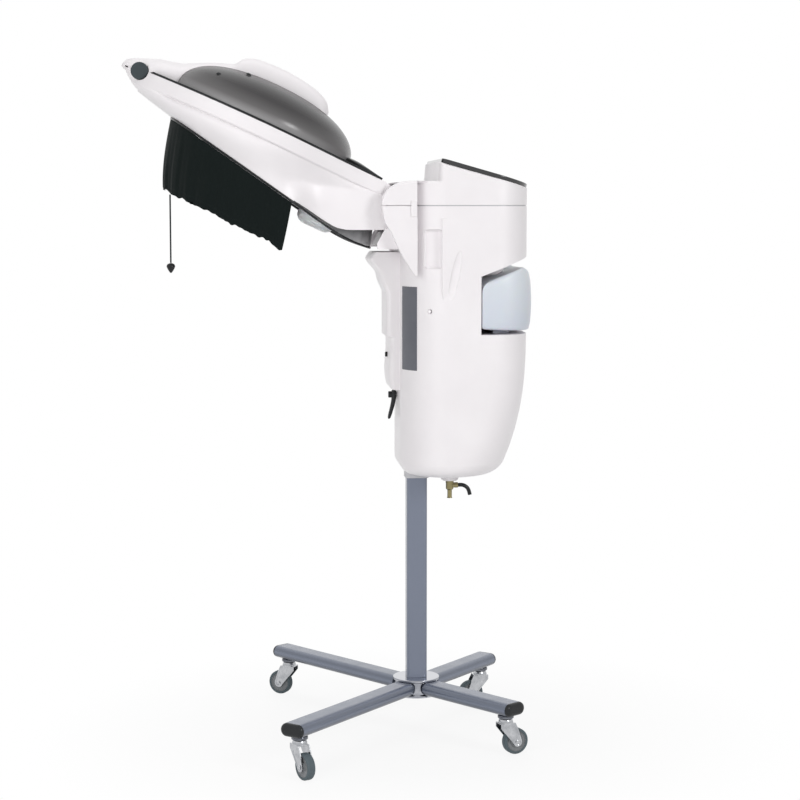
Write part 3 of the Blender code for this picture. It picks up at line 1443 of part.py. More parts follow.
def spine_sections():
    """Place, half width, underside and top of the cover's white nose and spine, from the nose to the rear."""
    under = SEAM_Z + SEAT
    above = DOME_BASE
    wide = SPINE_HALF_WIDTH
    return (
        (-0.605, 0.012, under - 0.013, 0.041),
        (-0.599, 0.021, under - 0.012, 0.050),
        (-0.585, 0.032, under - 0.004, 0.059),
        (-0.563, 0.044, under, 0.068),
        (-0.548, 0.053, under, 0.0745),
        (-0.542, 0.056, above, 0.077),
        (-0.505, 0.062, above, 0.086),
        (-0.490, 0.060, above, 0.092),
        (-0.470, 0.056, above, 0.102),
        (-0.440, wide, above, 0.116),
        (-0.411, wide, above, 0.128),
        (-0.397, wide, above, 0.145),
        (-0.368, wide, above, 0.155),
        (-0.305, wide, above, 0.157),
        (-0.253, wide, above, 0.150),
        (-0.224, wide, above, 0.138),
        (-0.211, wide - 0.004, above, 0.121),
    )


def spine_ring(x, half, low, top):
    """A rounded arch: low and pointed at the nose, box-like over the dome."""
    power = 2.4 if x < -0.48 else 4.5
    ring = []
    for step in range(11):
        turn = math.pi * step / 10
        y = half * math.copysign(abs(math.cos(turn)) ** (2 / power), math.cos(turn))
        ring.append((x, y, low + (top - low) * abs(math.sin(turn)) ** (2 / power)))
    return ring


def make_cover_shell(hood, white):
    shell = add("cover_shell", loft([spine_ring(*section) for section in spine_sections()]), white, parent=hood)
    cut(shell, loft(dome_rings(SEAT, 0.010)), parent=hood)
    for side in (-1, 1):
        join(shell, hinge_ear(side), parent=hood)
    cut(shell, rod(HINGE_PIN_RADIUS + RUN, (HINGE_X, -0.08, HINGE_Z), (HINGE_X, 0.08, HINGE_Z), 12), parent=hood)
    for side in (-1, 1):
        inner, seat, end = side * (LUG_INNER - RUN), side * (LUG_OUTER - RUN), side * 0.09
        relief = rod(LUG_RADIUS + 0.0012, (HINGE_X, inner, HINGE_Z), (HINGE_X, end, HINGE_Z), ROUND)
        cut(shell, relief, parent=hood)
        recess = rod(KNOB_RADIUS + 0.001, (HINGE_X, seat, HINGE_Z), (HINGE_X, end, HINGE_Z), ROUND)
        cut(shell, recess, parent=hood)


def hinge_ear(side):
    """An ear under the cover's nose that turns on the hinge pin."""
    eye = arc((HINGE_X, HINGE_Z), HINGE_EYE_RADIUS, 180, 360, 8)
    rise = SEAM_Z + 0.012
    outline = [*eye, Vector((HINGE_X + HINGE_EYE_RADIUS, rise)), Vector((HINGE_X - HINGE_EYE_RADIUS, rise))]
    return plate_in_y(outline, side * HINGE_EAR_INNER, side * HINGE_EAR_OUTER)


def make_flange(hood, black):
    """The dark flat ring that carries the dome and closes the seam."""
    steps = 24
    half = []
    for step in range(steps + 1):
        x = FLANGE_FRONT + (TRAY_REAR - 0.010 - FLANGE_FRONT) * step / steps
        half.append(Vector((x, tray_half_width(x) - FLANGE_INSET)))
    outline = half + [Vector((p.x, -p.y)) for p in reversed(half)]
    hole = arc((DOME_X, 0), DOME_RADIUS - 0.008, 0, 350, 35)
    mesh = sheet((outline, hole), FLANGE)
    add("cover_flange", mesh, black, parent=hood, at=(0, 0, FLANGE_Z + FLANGE / 2))


def make_dome(hood, smoke):
    dome = add("dome_window", loft(dome_rings(0.0, 0.0), cap_start=False), smoke, parent=hood)
    thicken(dome, DOME_SKIN)


def make_hinge(hood, dark):
    """The left knob with the pin that runs through both lugs, and the right knob on its end."""
    bore = HINGE_PIN_RADIUS + SEAT
    depth = KNOB_DEPTH * 0.6
    rim = [(0, KNOB_DEPTH), (KNOB_RADIUS - 0.002, KNOB_DEPTH), (KNOB_RADIUS, KNOB_DEPTH - 0.002), (KNOB_RADIUS, SEAT)]
    pin_end = -2 * LUG_OUTER - depth
    with_pin = [*rim, (HINGE_PIN_RADIUS, SEAT), (HINGE_PIN_RADIUS, pin_end), (0, pin_end)]
    with_bore = [*rim, (bore, SEAT), (bore, depth + SEAT), (0, depth + SEAT)]
    for name, side, profile in (("left", -1, with_pin), ("right", 1, with_bore)):
        turn = (math.radians(-90 * side), 0, 0)
        place = (HINGE_X, side * LUG_OUTER, HINGE_Z)
        add("hinge_knob_" + name, turned(profile), dark, parent=hood, at=place, turn=turn)


def make_hood(finishes):
    hood = empty("hood_axis", PIVOT, (0, HOOD_TILT, 0))
    white, black = finishes["white"], finishes["black"]
    make_tray(hood, white)
    make_bead(hood, black)
    make_outlet(hood, white, finishes["clear"])
    make_curtain(hood, finishes["cloth"])
    make_drawstring(hood, finishes["cloth"], black)
    make_cover_shell(hood, white)
    make_flange(hood, black)
    make_dome(hood, finishes["smoke"])
    make_hinge(hood, finishes["dark"])


def make_finishes():
    return {
        "white": material("white_plastic", (0.86, 0.84, 0.85), 0.35),
        "grey": material("grey_plastic", (0.55, 0.55, 0.57), 0.45),
        "black": material("black_plastic", (0.02, 0.02, 0.022), 0.3),
        "gloss_black": material("panel_gloss_black", (0.01, 0.01, 0.012), 0.08),
        "key": material("key_grey", (0.22, 0.23, 0.25), 0.4),
        "board": material("circuit_board", (0.05, 0.22, 0.10), 0.5),
        "dark": material("knob_dark_grey", (0.07, 0.08, 0.085), 0.45),
        "smoke": material("smoke_dome", (0.10, 0.095, 0.098), 0.2),
        "clear": material("frosted_clear", (0.72, 0.74, 0.80), 0.3),
        "cloth": material("black_cloth", (0.008, 0.011, 0.010), 0.9),
        "paint": material("blue_grey_paint", (0.26, 0.28, 0.33), 0.3, 0.6),
        "chrome": material("chrome", (0.80, 0.80, 0.82), 0.08, 1.0),
        "zinc": material("zinc_plate", (0.70, 0.71, 0.72), 0.3, 1.0),
        "steel": material("boiler_steel", (0.62, 0.62, 0.63), 0.35, 1.0),
        "brass": material("brass", (0.72, 0.50, 0.20), 0.3, 1.0),
        "rubber": material("grey_rubber", (0.09, 0.105, 0.11), 0.7),
    }


def main():
    global PARTS, CUTTERS
    clear_scene()
    PARTS = new_collection(OBJECT)
    CUTTERS = new_collection(OBJECT + "_cutters")
    finishes = make_finishes()
    make_stand(finishes)
    make_head(finishes)
    make_hood(finishes)


main()
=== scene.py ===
"""Salon hair steamer: the visual model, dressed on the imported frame. Metres, +Z up."""

import json
from math import atan, atan2, copysign, cos, pi, radians, sin, sqrt, tan

import bmesh
import bpy
from mathutils import Matrix, Vector, noise

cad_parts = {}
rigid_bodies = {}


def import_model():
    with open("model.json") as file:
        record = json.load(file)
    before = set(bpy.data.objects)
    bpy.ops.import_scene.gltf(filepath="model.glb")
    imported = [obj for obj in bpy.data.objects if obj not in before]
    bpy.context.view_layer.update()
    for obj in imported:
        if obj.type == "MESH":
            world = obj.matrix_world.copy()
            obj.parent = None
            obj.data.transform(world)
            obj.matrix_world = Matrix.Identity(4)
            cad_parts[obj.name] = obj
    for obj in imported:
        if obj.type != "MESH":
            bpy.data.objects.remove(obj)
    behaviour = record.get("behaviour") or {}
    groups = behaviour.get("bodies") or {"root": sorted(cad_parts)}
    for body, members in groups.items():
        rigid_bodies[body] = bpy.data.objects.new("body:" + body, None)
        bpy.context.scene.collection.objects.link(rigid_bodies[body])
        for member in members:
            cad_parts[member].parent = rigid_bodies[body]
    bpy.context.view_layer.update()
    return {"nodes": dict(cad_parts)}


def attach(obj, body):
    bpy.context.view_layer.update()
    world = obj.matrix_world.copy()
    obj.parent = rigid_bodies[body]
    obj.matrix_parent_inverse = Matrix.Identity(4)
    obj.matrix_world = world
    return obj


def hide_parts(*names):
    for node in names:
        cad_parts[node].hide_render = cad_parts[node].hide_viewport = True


for leftover in list(bpy.data.objects):
    bpy.data.objects.remove(leftover, do_unlink=True)

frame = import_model()
scene = bpy.context.scene
scene.view_settings.view_transform = "Standard"

# Sizes, most of them shared with the part's source
SEAT, RUN = 0.0003, 0.0005
WHEEL_RADIUS, WHEEL_WIDTH = 0.025, 0.018
CASTER_TRAIL, CASTER_HEIGHT = 0.020, 0.0795
RACE_RADIUS, RACE_DEPTH, STEM_RADIUS = 0.0155, 0.008, 0.005
FORK_SHEET, FORK_INSIDE, FORK_TOP_REACH = 0.002, 0.010, 0.015
LEG_WIDTH, LEG_DEPTH, LEG_Z = 0.050, 0.025, 0.092
LEG_ANGLE = radians(51.4)
FRONT_LEG_REACH, REAR_LEG_REACH, CASTER_INSET = 0.409, 0.265, 0.020
CAP_BULGE = 0.009
HUB_RADIUS, HUB_FACE, HUB_PLATE, HUB_BORE = 0.046, 0.0425, 0.005, 0.0063
HUB_WELL, HUB_WELL_DEPTH = 0.0125, 0.0076
HUB_TOP = LEG_Z + LEG_DEPTH / 2 + SEAT + HUB_PLATE
COLUMN_WIDTH, COLUMN_CORNER, COLUMN_LENGTH = 0.040, 0.006, 0.710
COLUMN_FOOT = HUB_TOP + SEAT
HEAD_BOTTOM, PART_LINE, LINE_GAP = 0.523, 1.040, 0.0009
HEAD_FRONT, HEAD_REAR, HALF_WIDTH = -0.038, 0.204, 0.145
FRONT_CORNER, REAR_CORNER, BOTTOM_ROUND = 0.092, 0.070, 0.026
TAPER_TOP, DRAW_IN, TAPER_POWER = 0.800, 0.049, 2.5
SKIN = 0.003
EAR_FRONT, EAR_REAR, EAR_TIP, EAR_PROUD = -0.078, -0.012, 0.909, 0.002
EAR_INNER = HALF_WIDTH - 0.024
EAR_CROWN = 0.042
PIVOT = Vector((-0.030, 0.0, 1.020))
COVER_TOP, CONSOLE_FRONT, CONSOLE_DRAFT, CONSOLE_CORNER = 1.086, 0.029, 0.003, 0.012
CONSOLE_FRONT_TOP, CONSOLE_SLOPE, COVER_ROUND = 1.122, 0.283, 0.006
PANEL_THICKNESS, PANEL_INSET, PANEL_ROUND = 0.008, 0.0015, 0.002
POCKET_X, POCKET_Z = 0.018, 0.9585
POCKET_LENGTH, POCKET_HEIGHT = 0.034, 0.075
POCKET_FLOOR = (0.1215, 0.1315)
# Height, front, rear and face of the leaf on the head's side
BLADE = (
    (1.016, 0.0340, 0.075, 0.1432),
    (1.008, 0.0340, 0.075, 0.1447),
    (0.950, 0.0340, 0.072, 0.1450),
    (0.920, 0.0342, 0.066, 0.1450),
    (0.900, 0.0345, 0.060, 0.1449),
    (0.880, 0.0350, 0.055, 0.1443),
    (0.868, 0.0355, 0.052, 0.1432),
    (0.858, 0.0360, 0.050, 0.1405),
)
FLUTE_START, FLUTE_END = (0.050, 0.862), (0.069, 0.955)
RECESS_X, RECESS_Z = 0.012, 0.841
BAY_FRONT, BAY_FLOOR, BAY_FRONT_TOP, BAY_SLOPE = 0.109, 0.797, 0.907, 0.385
CLAMP_Z, BUTTON_Z = 0.672, 0.751
# Height from the clamp's axis, lean, half thickness and half width of the clamp's handle
CLAMP_ROWS = (
    (0.0096, 0.0000, 0.0012, 0.0030),
    (0.0084, 0.0000, 0.0040, 0.0064),
    (0.0040, 0.0002, 0.0050, 0.0080),
    (-0.0050, 0.0002, 0.0049, 0.0080),
    (-0.0150, -0.0014, 0.0045, 0.0071),
    (-0.0270, -0.0042, 0.0041, 0.0066),
    (-0.0385, -0.0074, 0.0037, 0.0062),
    (-0.0450, -0.0090, 0.0029, 0.0050),
    (-0.0475, -0.0096, 0.0017, 0.0030),
    (-0.0484, -0.0098, 0.0004, 0.0010),
)
DRAIN_X, DRAIN_Y, DRAIN_DROP = 0.064, -0.020, 0.054
GLAND_X, GLAND_Y = 0.112, 0.075
HOOD_TILT = radians(24.8)
SEAM_Z = 0.042
TRAY_NOSE, TRAY_WIDEST, TRAY_HALF, TRAY_REAR = -0.587, -0.310, 0.190, -0.060
BAND_DEPTH, BAND_LEDGE, TRAY_SKIN, BAND_HALF = 0.025, 0.008, 0.003, 0.112
BAND_START = -0.527
CREASE_X, CREASE_Z, CREASE_SLOPE = -0.1854, -0.0174, 0.2908
FACET_HIGH_START, FACET_HIGH_RUN = -0.300, 0.130
FACET_LOW_START, FACET_LOW_RUN = -0.205, 0.07
RIM_FRONT, RIM_REAR, RIM_WIDEST, RIM_HALF = -0.478, -0.030, -0.300, 0.150
RIM_FRONT_Z, RIM_SLOPE, HEEL_START, HEEL_RISE, RIM_POWER = -0.014, -0.1806, -0.120, 0.016, 2.3
BEAD_RADIUS, BARREL_RADIUS, BARREL_WALL = 0.0022, 0.040, 0.005
NECK_HALF, NECK_PLATE, NECK_START = 0.110, 0.006, -0.165
NECK_LOW = (-0.100, -0.0755)
# X and Z of the line where the white bowl ends and the smoky heel guard starts
HEEL_LINE = (
    (-0.205, -0.0620),
    (-0.170, -0.0665),
    (-0.140, -0.0715),
    (-0.115, -0.0740),
    (-0.100, -0.0722),
    (-0.080, -0.0652),
    (-0.022, -0.0385),
)
DOME_X, DOME_RADIUS, DOME_HEIGHT, DOME_SKIN, DOME_FOOT = -0.318, 0.184, 0.079, 0.0025, 0.003
FLANGE, FLANGE_FRONT, FLANGE_Z = 0.004, -0.540, 0.0423
DOME_BASE = FLANGE_Z + FLANGE + SEAT
HINGE_X, HINGE_Z, HINGE_PIN = -0.566, 0.038, 0.004
# X, half width and rise of the tongue behind the dome
TAIL = (
    (-0.150, 0.055, 0.0105),
    (-0.136, 0.080, 0.0115),
    (-0.124, 0.096, 0.0110),
    (-0.110, 0.105, 0.0088),
    (-0.095, 0.107, 0.0058),
    (-0.082, 0.107, 0.0028),
    (-0.072, 0.107, 0.0006),
)
# Place and outward direction of the dome's studs
STUDS = (
    ((-0.4268, -0.1127, 0.0926), (-0.020, -0.410, 0.910)),
    ((-0.3770, -0.0860, 0.1165), (0.0, -0.27, 0.96)),
)
# X, half width and lowest height of the nose's underside
BEAK = (
    (-0.6000, 0.0100, 0.0345),
    (-0.5970, 0.0160, 0.0322),
    (-0.5880, 0.0250, 0.0245),
    (-0.5780, 0.0305, 0.0170),
    (-0.5704, 0.0330, 0.0117),
    (-0.5600, 0.0345, 0.0070),
    (-0.5500, 0.0345, 0.0085),
    (-0.5420, 0.0340, 0.0145),
)
JAW_BORE = 0.0350
LUG_INNER, LUG_OUTER, LUG_RADIUS = 0.0355, 0.0455, 0.012
KNOB_RADIUS, KNOB_DEPTH = 0.0168, 0.009
OUTLET_X, OUTLET_Z, OUTLET_RADIUS = -0.147, -0.092, 0.040
CURTAIN_REAR, FRONT_DROP, REAR_DROP = -0.205, 0.132, 0.089
CURTAIN_LEAN = radians(11.0)
FOLDS, FOLD_DEPTH, DRAW = 17, 0.006, 0.010
STRING_LENGTH, STRING_RADIUS = 0.128, 0.0015
TOGGLE_LENGTH, TOGGLE_RADIUS = 0.019, 0.0085
# Heights between which the heel guard's painted shade and the tank's tones change
SKIRT_PAINTED_SHADE_LOW, SKIRT_PAINTED_SHADE_HIGH = 0.962, 0.998
TANK_LOW, TANK_HIGH = 0.80, 0.93
SIDES = (("left", -1), ("right", 1))

HOOD = Matrix.Translation(PIVOT) @ Matrix.Rotation(HOOD_TILT, 4, "Y")
# Name, bearing and reach of each leg, and the heading of its caster
LEGS = (
    ("front_left", pi + LEG_ANGLE, FRONT_LEG_REACH, radians(-62)),
    ("front_right", pi - LEG_ANGLE, FRONT_LEG_REACH, radians(152)),
    ("rear_left", -LEG_ANGLE, REAR_LEG_REACH, radians(20)),
    ("rear_right", LEG_ANGLE, REAR_LEG_REACH, radians(188)),
)


def shown(name, data):
    """A new object in the scene."""
    obj = bpy.data.objects.new(name, data)
    scene.collection.objects.link(obj)
    return obj


def make_camera():
    """The camera that was fitted to the photograph."""
    turn, dip = radians(5.0325), radians(5.7917)
    forward = Vector((sin(turn) * cos(dip), cos(turn) * cos(dip), -sin(dip)))
    data = bpy.data.cameras.new("camera")
    data.lens, data.sensor_width, data.clip_end = 87.25, 36.0, 60.0
    camera = shown("camera", data)
    camera.location = (-0.36357, -3.76508, 1.04413)
    camera.rotation_euler = forward.to_track_quat("-Z", "Y").to_euler()
    scene.camera = camera


# Materials


class Nodes:
    """A node tree with short calls for the nodes in it."""

    def __init__(self, tree):
        self.tree = tree

    def put(self, socket, value):
        """Links another node's socket to this one, or sets its constant."""
        if isinstance(value, bpy.types.NodeSocket):
            self.tree.links.new(value, socket)
        else:
            socket.default_value = (*value, 1.0) if socket.type == "RGBA" else value

    def node(self, kind, **values):
        """A new node, with values for its sockets and its settings."""
        made = self.tree.nodes.new(kind)
        for name, value in values.items():
            socket = made.inputs.get(name.replace("_", " "))
            if socket is None:
                setattr(made, name, value)
            else:
                self.put(socket, value)
        return made

    def math(self, operation, *values):
        made = self.node("ShaderNodeMath", operation=operation)
        for socket, value in zip(made.inputs, values):
            self.put(socket, value)
        return made.outputs[0]

    def mix(self, share, first, second, output):
        made = self.node("ShaderNodeMixShader", Fac=share)
        self.put(made.inputs[1], first)
        self.put(made.inputs[2], second)
        self.put(output.inputs["Surface"], made.outputs["Shader"])


class Finish(Nodes):
    """A principled material with short calls for what feeds it."""

    def __init__(self, name, **sockets):
        self.material = bpy.data.materials.new("finish_" + name)
        self.material.use_nodes = True
        super().__init__(self.material.node_tree)
        self.shader = self.tree.nodes["Principled BSDF"]
        for socket, value in sockets.items():
            self.put(self.shader.inputs[socket.replace("_", " ")], value)
        self.place = self.node("ShaderNodeTexCoord").outputs["Object"]

    def split(self, source, axis):
        return self.node("ShaderNodeSeparateXYZ", Vector=source).outputs[axis]

    def stretched(self, scale):
        return self.node("ShaderNodeMapping", Scale=scale, Vector=self.place).outputs["Vector"]

    def noise(self, scale, detail, rough, source=None):
        place = source or self.place
        made = self.node("ShaderNodeTexNoise", Scale=scale, Detail=detail, Roughness=rough, Vector=place)
        return made.outputs["Fac"]

    def wave(self, scale, direction, source):
        made = self.node("ShaderNodeTexWave", bands_direction=direction, Scale=scale, Vector=source)
        return made.outputs["Fac"]

    def level(self, value, low, high):
        """0 at the low value, 1 at the high one."""
        return self.node("ShaderNodeMapRange", From_Min=low, From_Max=high, Value=value).outputs["Result"]

    def facing_up(self):
        """0 for a face that looks straight down, 1 for one that looks straight up."""
        height = self.split(self.node("ShaderNodeNewGeometry").outputs["Normal"], "Z")
        return self.math("ADD", self.math("MULTIPLY", height, 0.5), 0.5)

    def ramp(self, target, source, *stops):
        made = self.node("ShaderNodeValToRGB", Fac=source)
        elements = made.color_ramp.elements
        while len(elements) < len(stops):
            elements.new(0.5)
        for element, (place, value) in zip(elements, stops):
            element.position = place
            element.color = (*value, 1.0) if isinstance(value, tuple) else (value, value, value, 1.0)
        self.put(self.shader.inputs[target], made.outputs["Color"])

    def colour(self, source, *stops):
        self.ramp("Base Color", source, *stops)

    def rough(self, source, low, high):
        self.ramp("Roughness", source, (0.3, low), (0.7, high))

    def bump(self, source, strength, distance):
        made = self.node("ShaderNodeBump", Strength=strength, Distance=distance, Height=source)
        self.put(self.shader.inputs["Normal"], made.outputs["Normal"])


def plastic(name, low, high, rough, grain, **sockets):
    """Moulded plastic: faint clouding, a fine grain and a slightly uneven gloss."""
    made = Finish(name, **sockets)
    made.colour(made.noise(9.0, 4.0, 0.6), (0.3, low), (0.7, high))
    made.rough(made.noise(24.0, 5.0, 0.6), *rough)
    made.bump(made.noise(1500.0, 2.0, 0.5), grain, 0.0002)
    return made.material


def metal(name, low, high, rough, grain_scale, grain):
    """Plated or turned metal: a painted reflection in light and dark bands by the way a face points, random
    blotches, and fine drawn lines.
    """
    made = Finish(name, Metallic=1.0)
    # The bands by facing are a painted reflection; the noise blotches are random variation.
    blotch = made.math("MULTIPLY", made.noise(60.0, 5.0, 0.65), 0.35)
    painted_reflection_and_blotch = made.math("ADD", made.facing_up(), blotch)
    made.colour(painted_reflection_and_blotch, (0.25, low), (0.55, high), (0.75, low), (1.0, high))
    lines = made.noise(grain_scale, 4.0, 0.6, made.stretched((1.0, 1.0, 0.08)))
    made.rough(lines, *rough)
    made.bump(lines, grain, 0.0001)
    return made.material


def painted():
    """Blue-grey metallic enamel with flake and a little orange peel, and painted shade: darker on the faces
    that look down and in a band where the top turns into the side.
    """
    made = Finish("paint", Metallic=0.55, Coat_Weight=0.4, Coat_Roughness=0.12)
    flake = made.math("MULTIPLY", made.noise(5200.0, 1.0, 0.5), 0.3)
    mixed = made.math("ADD", flake, made.math("MULTIPLY", made.facing_up(), 0.7))
    # deep and shoulder are painted shade, below and along the upper edge; middle and pale are the enamel's
    # own colour.
    deep, middle = (0.075, 0.088, 0.120), (0.195, 0.220, 0.285)
    shoulder, pale = (0.125, 0.142, 0.184), (0.195, 0.218, 0.278)
    made.colour(mixed, (0.32, deep), (0.50, middle), (0.68, shoulder), (0.82, pale))
    made.rough(made.noise(30.0, 4.0, 0.6), 0.28, 0.40)
    made.bump(made.noise(260.0, 2.0, 0.5), 0.06, 0.0004)
    return made.material


def smoke_painted_highlight():
    """Smoked acrylic with a painted highlight along its lower rim and painted shade darkening towards the
    crown, with a trace of dust.
    """
    made = Finish("smoke", Specular_IOR_Level=0.36)
    upright = (sin(HOOD_TILT), 0.0, cos(HOOD_TILT))
    along = made.node("ShaderNodeVectorMath", operation="DOT_PRODUCT")
    made.put(along.inputs[0], made.place)
    made.put(along.inputs[1], upright)
    base = PIVOT.dot(Vector(upright)) + DOME_BASE
    level = made.level(along.outputs["Value"], base, base + DOME_HEIGHT)
    haze = made.math("MULTIPLY", made.math("SUBTRACT", made.noise(5.0, 3.0, 0.5), 0.5), 0.08)
    # rim and side are a painted highlight; shoulder and crown are painted shade.
    rim, side = (0.330, 0.324, 0.328), (0.122, 0.118, 0.119)
    shoulder, crown = (0.032, 0.030, 0.031), (0.004, 0.0036, 0.004)
    shade = made.math("ADD", level, haze)
    made.colour(shade, (0.0, rim), (0.22, side), (0.5, shoulder), (0.9, crown))
    made.rough(made.noise(420.0, 6.0, 0.7), 0.23, 0.265)
    made.bump(made.noise(11.0, 2.0, 0.5), 0.02, 0.001)
    return made.material


def frosted(name, tint, deep, clear):
    """Translucent moulded plastic that is a shade bluer lower down."""
    made = Finish(name, Transmission_Weight=clear, IOR=1.45, Subsurface_Weight=0.12, Subsurface_Scale=0.02)
    level = made.level(made.split(made.place, "Z"), TANK_LOW, TANK_HIGH)
    cloud = made.math("MULTIPLY", made.noise(14.0, 4.0, 0.6), 0.25)
    made.colour(made.math("ADD", level, cloud), (0.1, deep), (0.9, tint))
    made.rough(made.noise(40.0, 4.0, 0.6), 0.29, 0.38)
    made.bump(made.noise(900.0, 2.0, 0.5), 0.05, 0.0002)
    return made.material


def smoke_skirt():
    """Thin smoky plastic with painted shade: dark at the top under the hood's neck and lighter towards its
    lower edge, with drawn streaks.
    """
    made = Finish("skirt", Transmission_Weight=0.25, IOR=1.45, Alpha=0.9)
    fall = made.level(made.split(made.place, "Z"), SKIRT_PAINTED_SHADE_LOW, SKIRT_PAINTED_SHADE_HIGH)
    streak = made.math("MULTIPLY", made.noise(90.0, 3.0, 0.6, made.stretched((1.0, 1.0, 0.1))), 0.3)
    # The dark top is painted shade under the neck.
    edge, middle, top = (0.74, 0.74, 0.75), (0.38, 0.38, 0.39), (0.12, 0.12, 0.125)
    made.colour(made.math("ADD", fall, streak), (0.15, edge), (0.6, middle), (1.0, top))
    made.rough(made.noise(60.0, 4.0, 0.6), 0.29, 0.38)
    return made.material


def woven(name, low, high, pitch, stitched):
    """Black cloth: a plain weave in the cloth's own metres, lint, soft sheen and a stitched hem."""
    made = Finish(name, Sheen_Weight=0.05, Sheen_Roughness=0.5, Specular_IOR_Level=0.1)
    flat = made.node("ShaderNodeUVMap").outputs["UV"]
    wave_length = 0.314
    weft, warp = (made.wave(wave_length / pitch, direction, flat) for direction in "XY")
    weave = made.math("MULTIPLY", weft, warp)
    lint = made.noise(900.0, 5.0, 0.7)
    mixed = made.math("ADD", made.math("MULTIPLY", weave, 0.5), made.math("MULTIPLY", lint, 0.6))
    if stitched:
        hem, half_thread, stitch = 0.011, 0.0006, 0.004
        away = made.math("ABSOLUTE", made.math("SUBTRACT", made.split(flat, "Y"), hem))
        near = made.math("LESS_THAN", away, half_thread)
        dash = made.math("GREATER_THAN", made.wave(wave_length / stitch, "X", flat), 0.35)
        mixed = made.math("ADD", mixed, made.math("MULTIPLY", made.math("MULTIPLY", near, dash), 0.5))
    made.colour(mixed, (0.25, low), (0.85, high))
    made.rough(lint, 0.82, 0.95)
    made.bump(weave, 0.5, 0.0003)
    return made.material


def make_finishes():
    gloss, satin = (0.16, 0.26), (0.29, 0.38)
    plastics = {
        "white_plastic": ("white", (0.845, 0.815, 0.832), (0.880, 0.852, 0.868), satin, 0.05),
        "grey_plastic": ("grey", (0.50, 0.50, 0.52), (0.58, 0.58, 0.60), (0.40, 0.55), 0.10),
        "key_grey": ("key", (0.19, 0.20, 0.22), (0.25, 0.26, 0.28), (0.32, 0.48), 0.12),
        "circuit_board": ("board", (0.03, 0.15, 0.06), (0.06, 0.24, 0.11), (0.35, 0.55), 0.20),
        "knob_dark_grey": ("knob", (0.022, 0.031, 0.036), (0.034, 0.046, 0.052), (0.40, 0.55), 0.12),
        "grey_rubber": ("rubber", (0.070, 0.092, 0.104), (0.105, 0.135, 0.150), (0.62, 0.82), 0.45),
        "wheel_core": ("wheel_core", (0.16, 0.17, 0.18), (0.24, 0.25, 0.26), (0.35, 0.55), 0.15),
        "dark_plate": ("dark_plate", (0.098, 0.103, 0.122), (0.132, 0.138, 0.160), (0.38, 0.52), 0.06),
        "display": ("display", (0.014, 0.020, 0.020), (0.022, 0.030, 0.029), (0.05, 0.12), 0.01),
    }
    metals = {
        "chrome": ("chrome", (0.17, 0.18, 0.21), (0.60, 0.61, 0.65), (0.05, 0.14), 160.0, 0.02),
        # A darker copy of chrome: painted dark reflections on the casters' swivel races.
        "race_chrome": ("race", (0.055, 0.060, 0.072), (0.26, 0.27, 0.30), (0.08, 0.16), 160.0, 0.02),
        "zinc_plate": ("zinc", (0.34, 0.35, 0.37), (0.68, 0.69, 0.71), gloss, 420.0, 0.12),
        "boiler_steel": ("steel", (0.54, 0.54, 0.55), (0.66, 0.66, 0.67), (0.28, 0.45), 300.0, 0.15),
        "brass": ("brass", (0.19, 0.165, 0.085), (0.36, 0.31, 0.165), satin, 300.0, 0.08),
    }
    black = ("black", (0.011, 0.012, 0.013), (0.020, 0.022, 0.024), gloss, 0.04)
    panel = ("panel", (0.006, 0.006, 0.007), (0.012, 0.012, 0.014), (0.04, 0.10), 0.01)
    finishes = {
        "black_plastic": plastic(*black, Specular_IOR_Level=0.28),
        "panel_gloss_black": plastic(*panel, Coat_Weight=0.6),
        "smoke_dome": smoke_painted_highlight(),
        "frosted_clear": frosted("clear", (0.800, 0.815, 0.865), (0.700, 0.715, 0.800), 0.10),
        "smoke_skirt": smoke_skirt(),
        "clear_dish": frosted("dish", (0.93, 0.95, 0.96), (0.90, 0.92, 0.93), 0.75),
        "black_cloth": woven("cloth", (0.0055, 0.0085, 0.0082), (0.0110, 0.0160, 0.0155), 0.0009, True),
        "cord_braid": woven("braid", (0.016, 0.022, 0.022), (0.034, 0.044, 0.044), 0.0011, False),
        "blue_grey_paint": painted(),
    }
    finishes.update({slot: plastic(*row) for slot, row in plastics.items()})
    finishes.update({slot: metal(*row) for slot, row in metals.items()})
    return finishes


# Mesh helpers


def moved(x, y, z):
    return Matrix.Translation((x, y, z))


def spun(degrees, axis):
    return Matrix.Rotation(radians(degrees), 4, axis)


def aimed(place, direction):
    """A place with its Z axis turned to a direction."""
    return Matrix.Translation(place) @ direction.to_track_quat("Z", "Y").to_matrix().to_4x4()


def clamped(value):
    return min(1.0, max(0.0, value))


def ease(value):
    value = clamped(value)
    return value * value * (3 - 2 * value)


def squashed(value, power):
    """A sine or cosine raised to a power, with its sign kept: a superellipse's coordinate."""
    return copysign(abs(value) ** power, value)


def quarter(steps, first=0):
    """The sine, and one less the cosine, of even steps through a quarter turn."""
    turns = [radians(90 * step / steps) for step in range(first, steps + 1)]
    return [(sin(turn), 1 - cos(turn)) for turn in turns]


def arc(centre, radius, start, end, steps):
    angles = [radians(start + (end - start) * step / steps) for step in range(steps + 1)]
    return [Vector((centre[0] + radius * cos(a), centre[1] + radius * sin(a))) for a in angles]


def curve_through(start, corner, end, steps):
    """A bend from start to end, drawn towards the corner."""
    shares = [step / steps for step in range(steps + 1)]
    return [start * (1 - t) ** 2 + corner * 2 * t * (1 - t) + end * t**2 for t in shares]


def flat_oval(width, depth, steps=16):
    side = (width - depth) / 2
    return arc((side, 0), depth / 2, -90, 90, steps) + arc((-side, 0), depth / 2, 90, 270, steps)


def round_square(width, corner, steps=8):
    half = width / 2 - corner
    outline = []
    for number, (x, y) in enumerate(((half, half), (-half, half), (-half, -half), (half, -half))):
        outline += arc((x, y), corner, 90 * number, 90 * number + 90, steps)
    return outline


def with_mirror(half):
    """A half outline, and its mirror image taken backwards."""
    return half + [Vector((p.x, -p.y)) for p in reversed(half)]


def flipped(profile):
    return [(r, -z) for r, z in reversed(profile)]


def level(outline, z):
    return [(p.x, p.y, z) for p in outline]


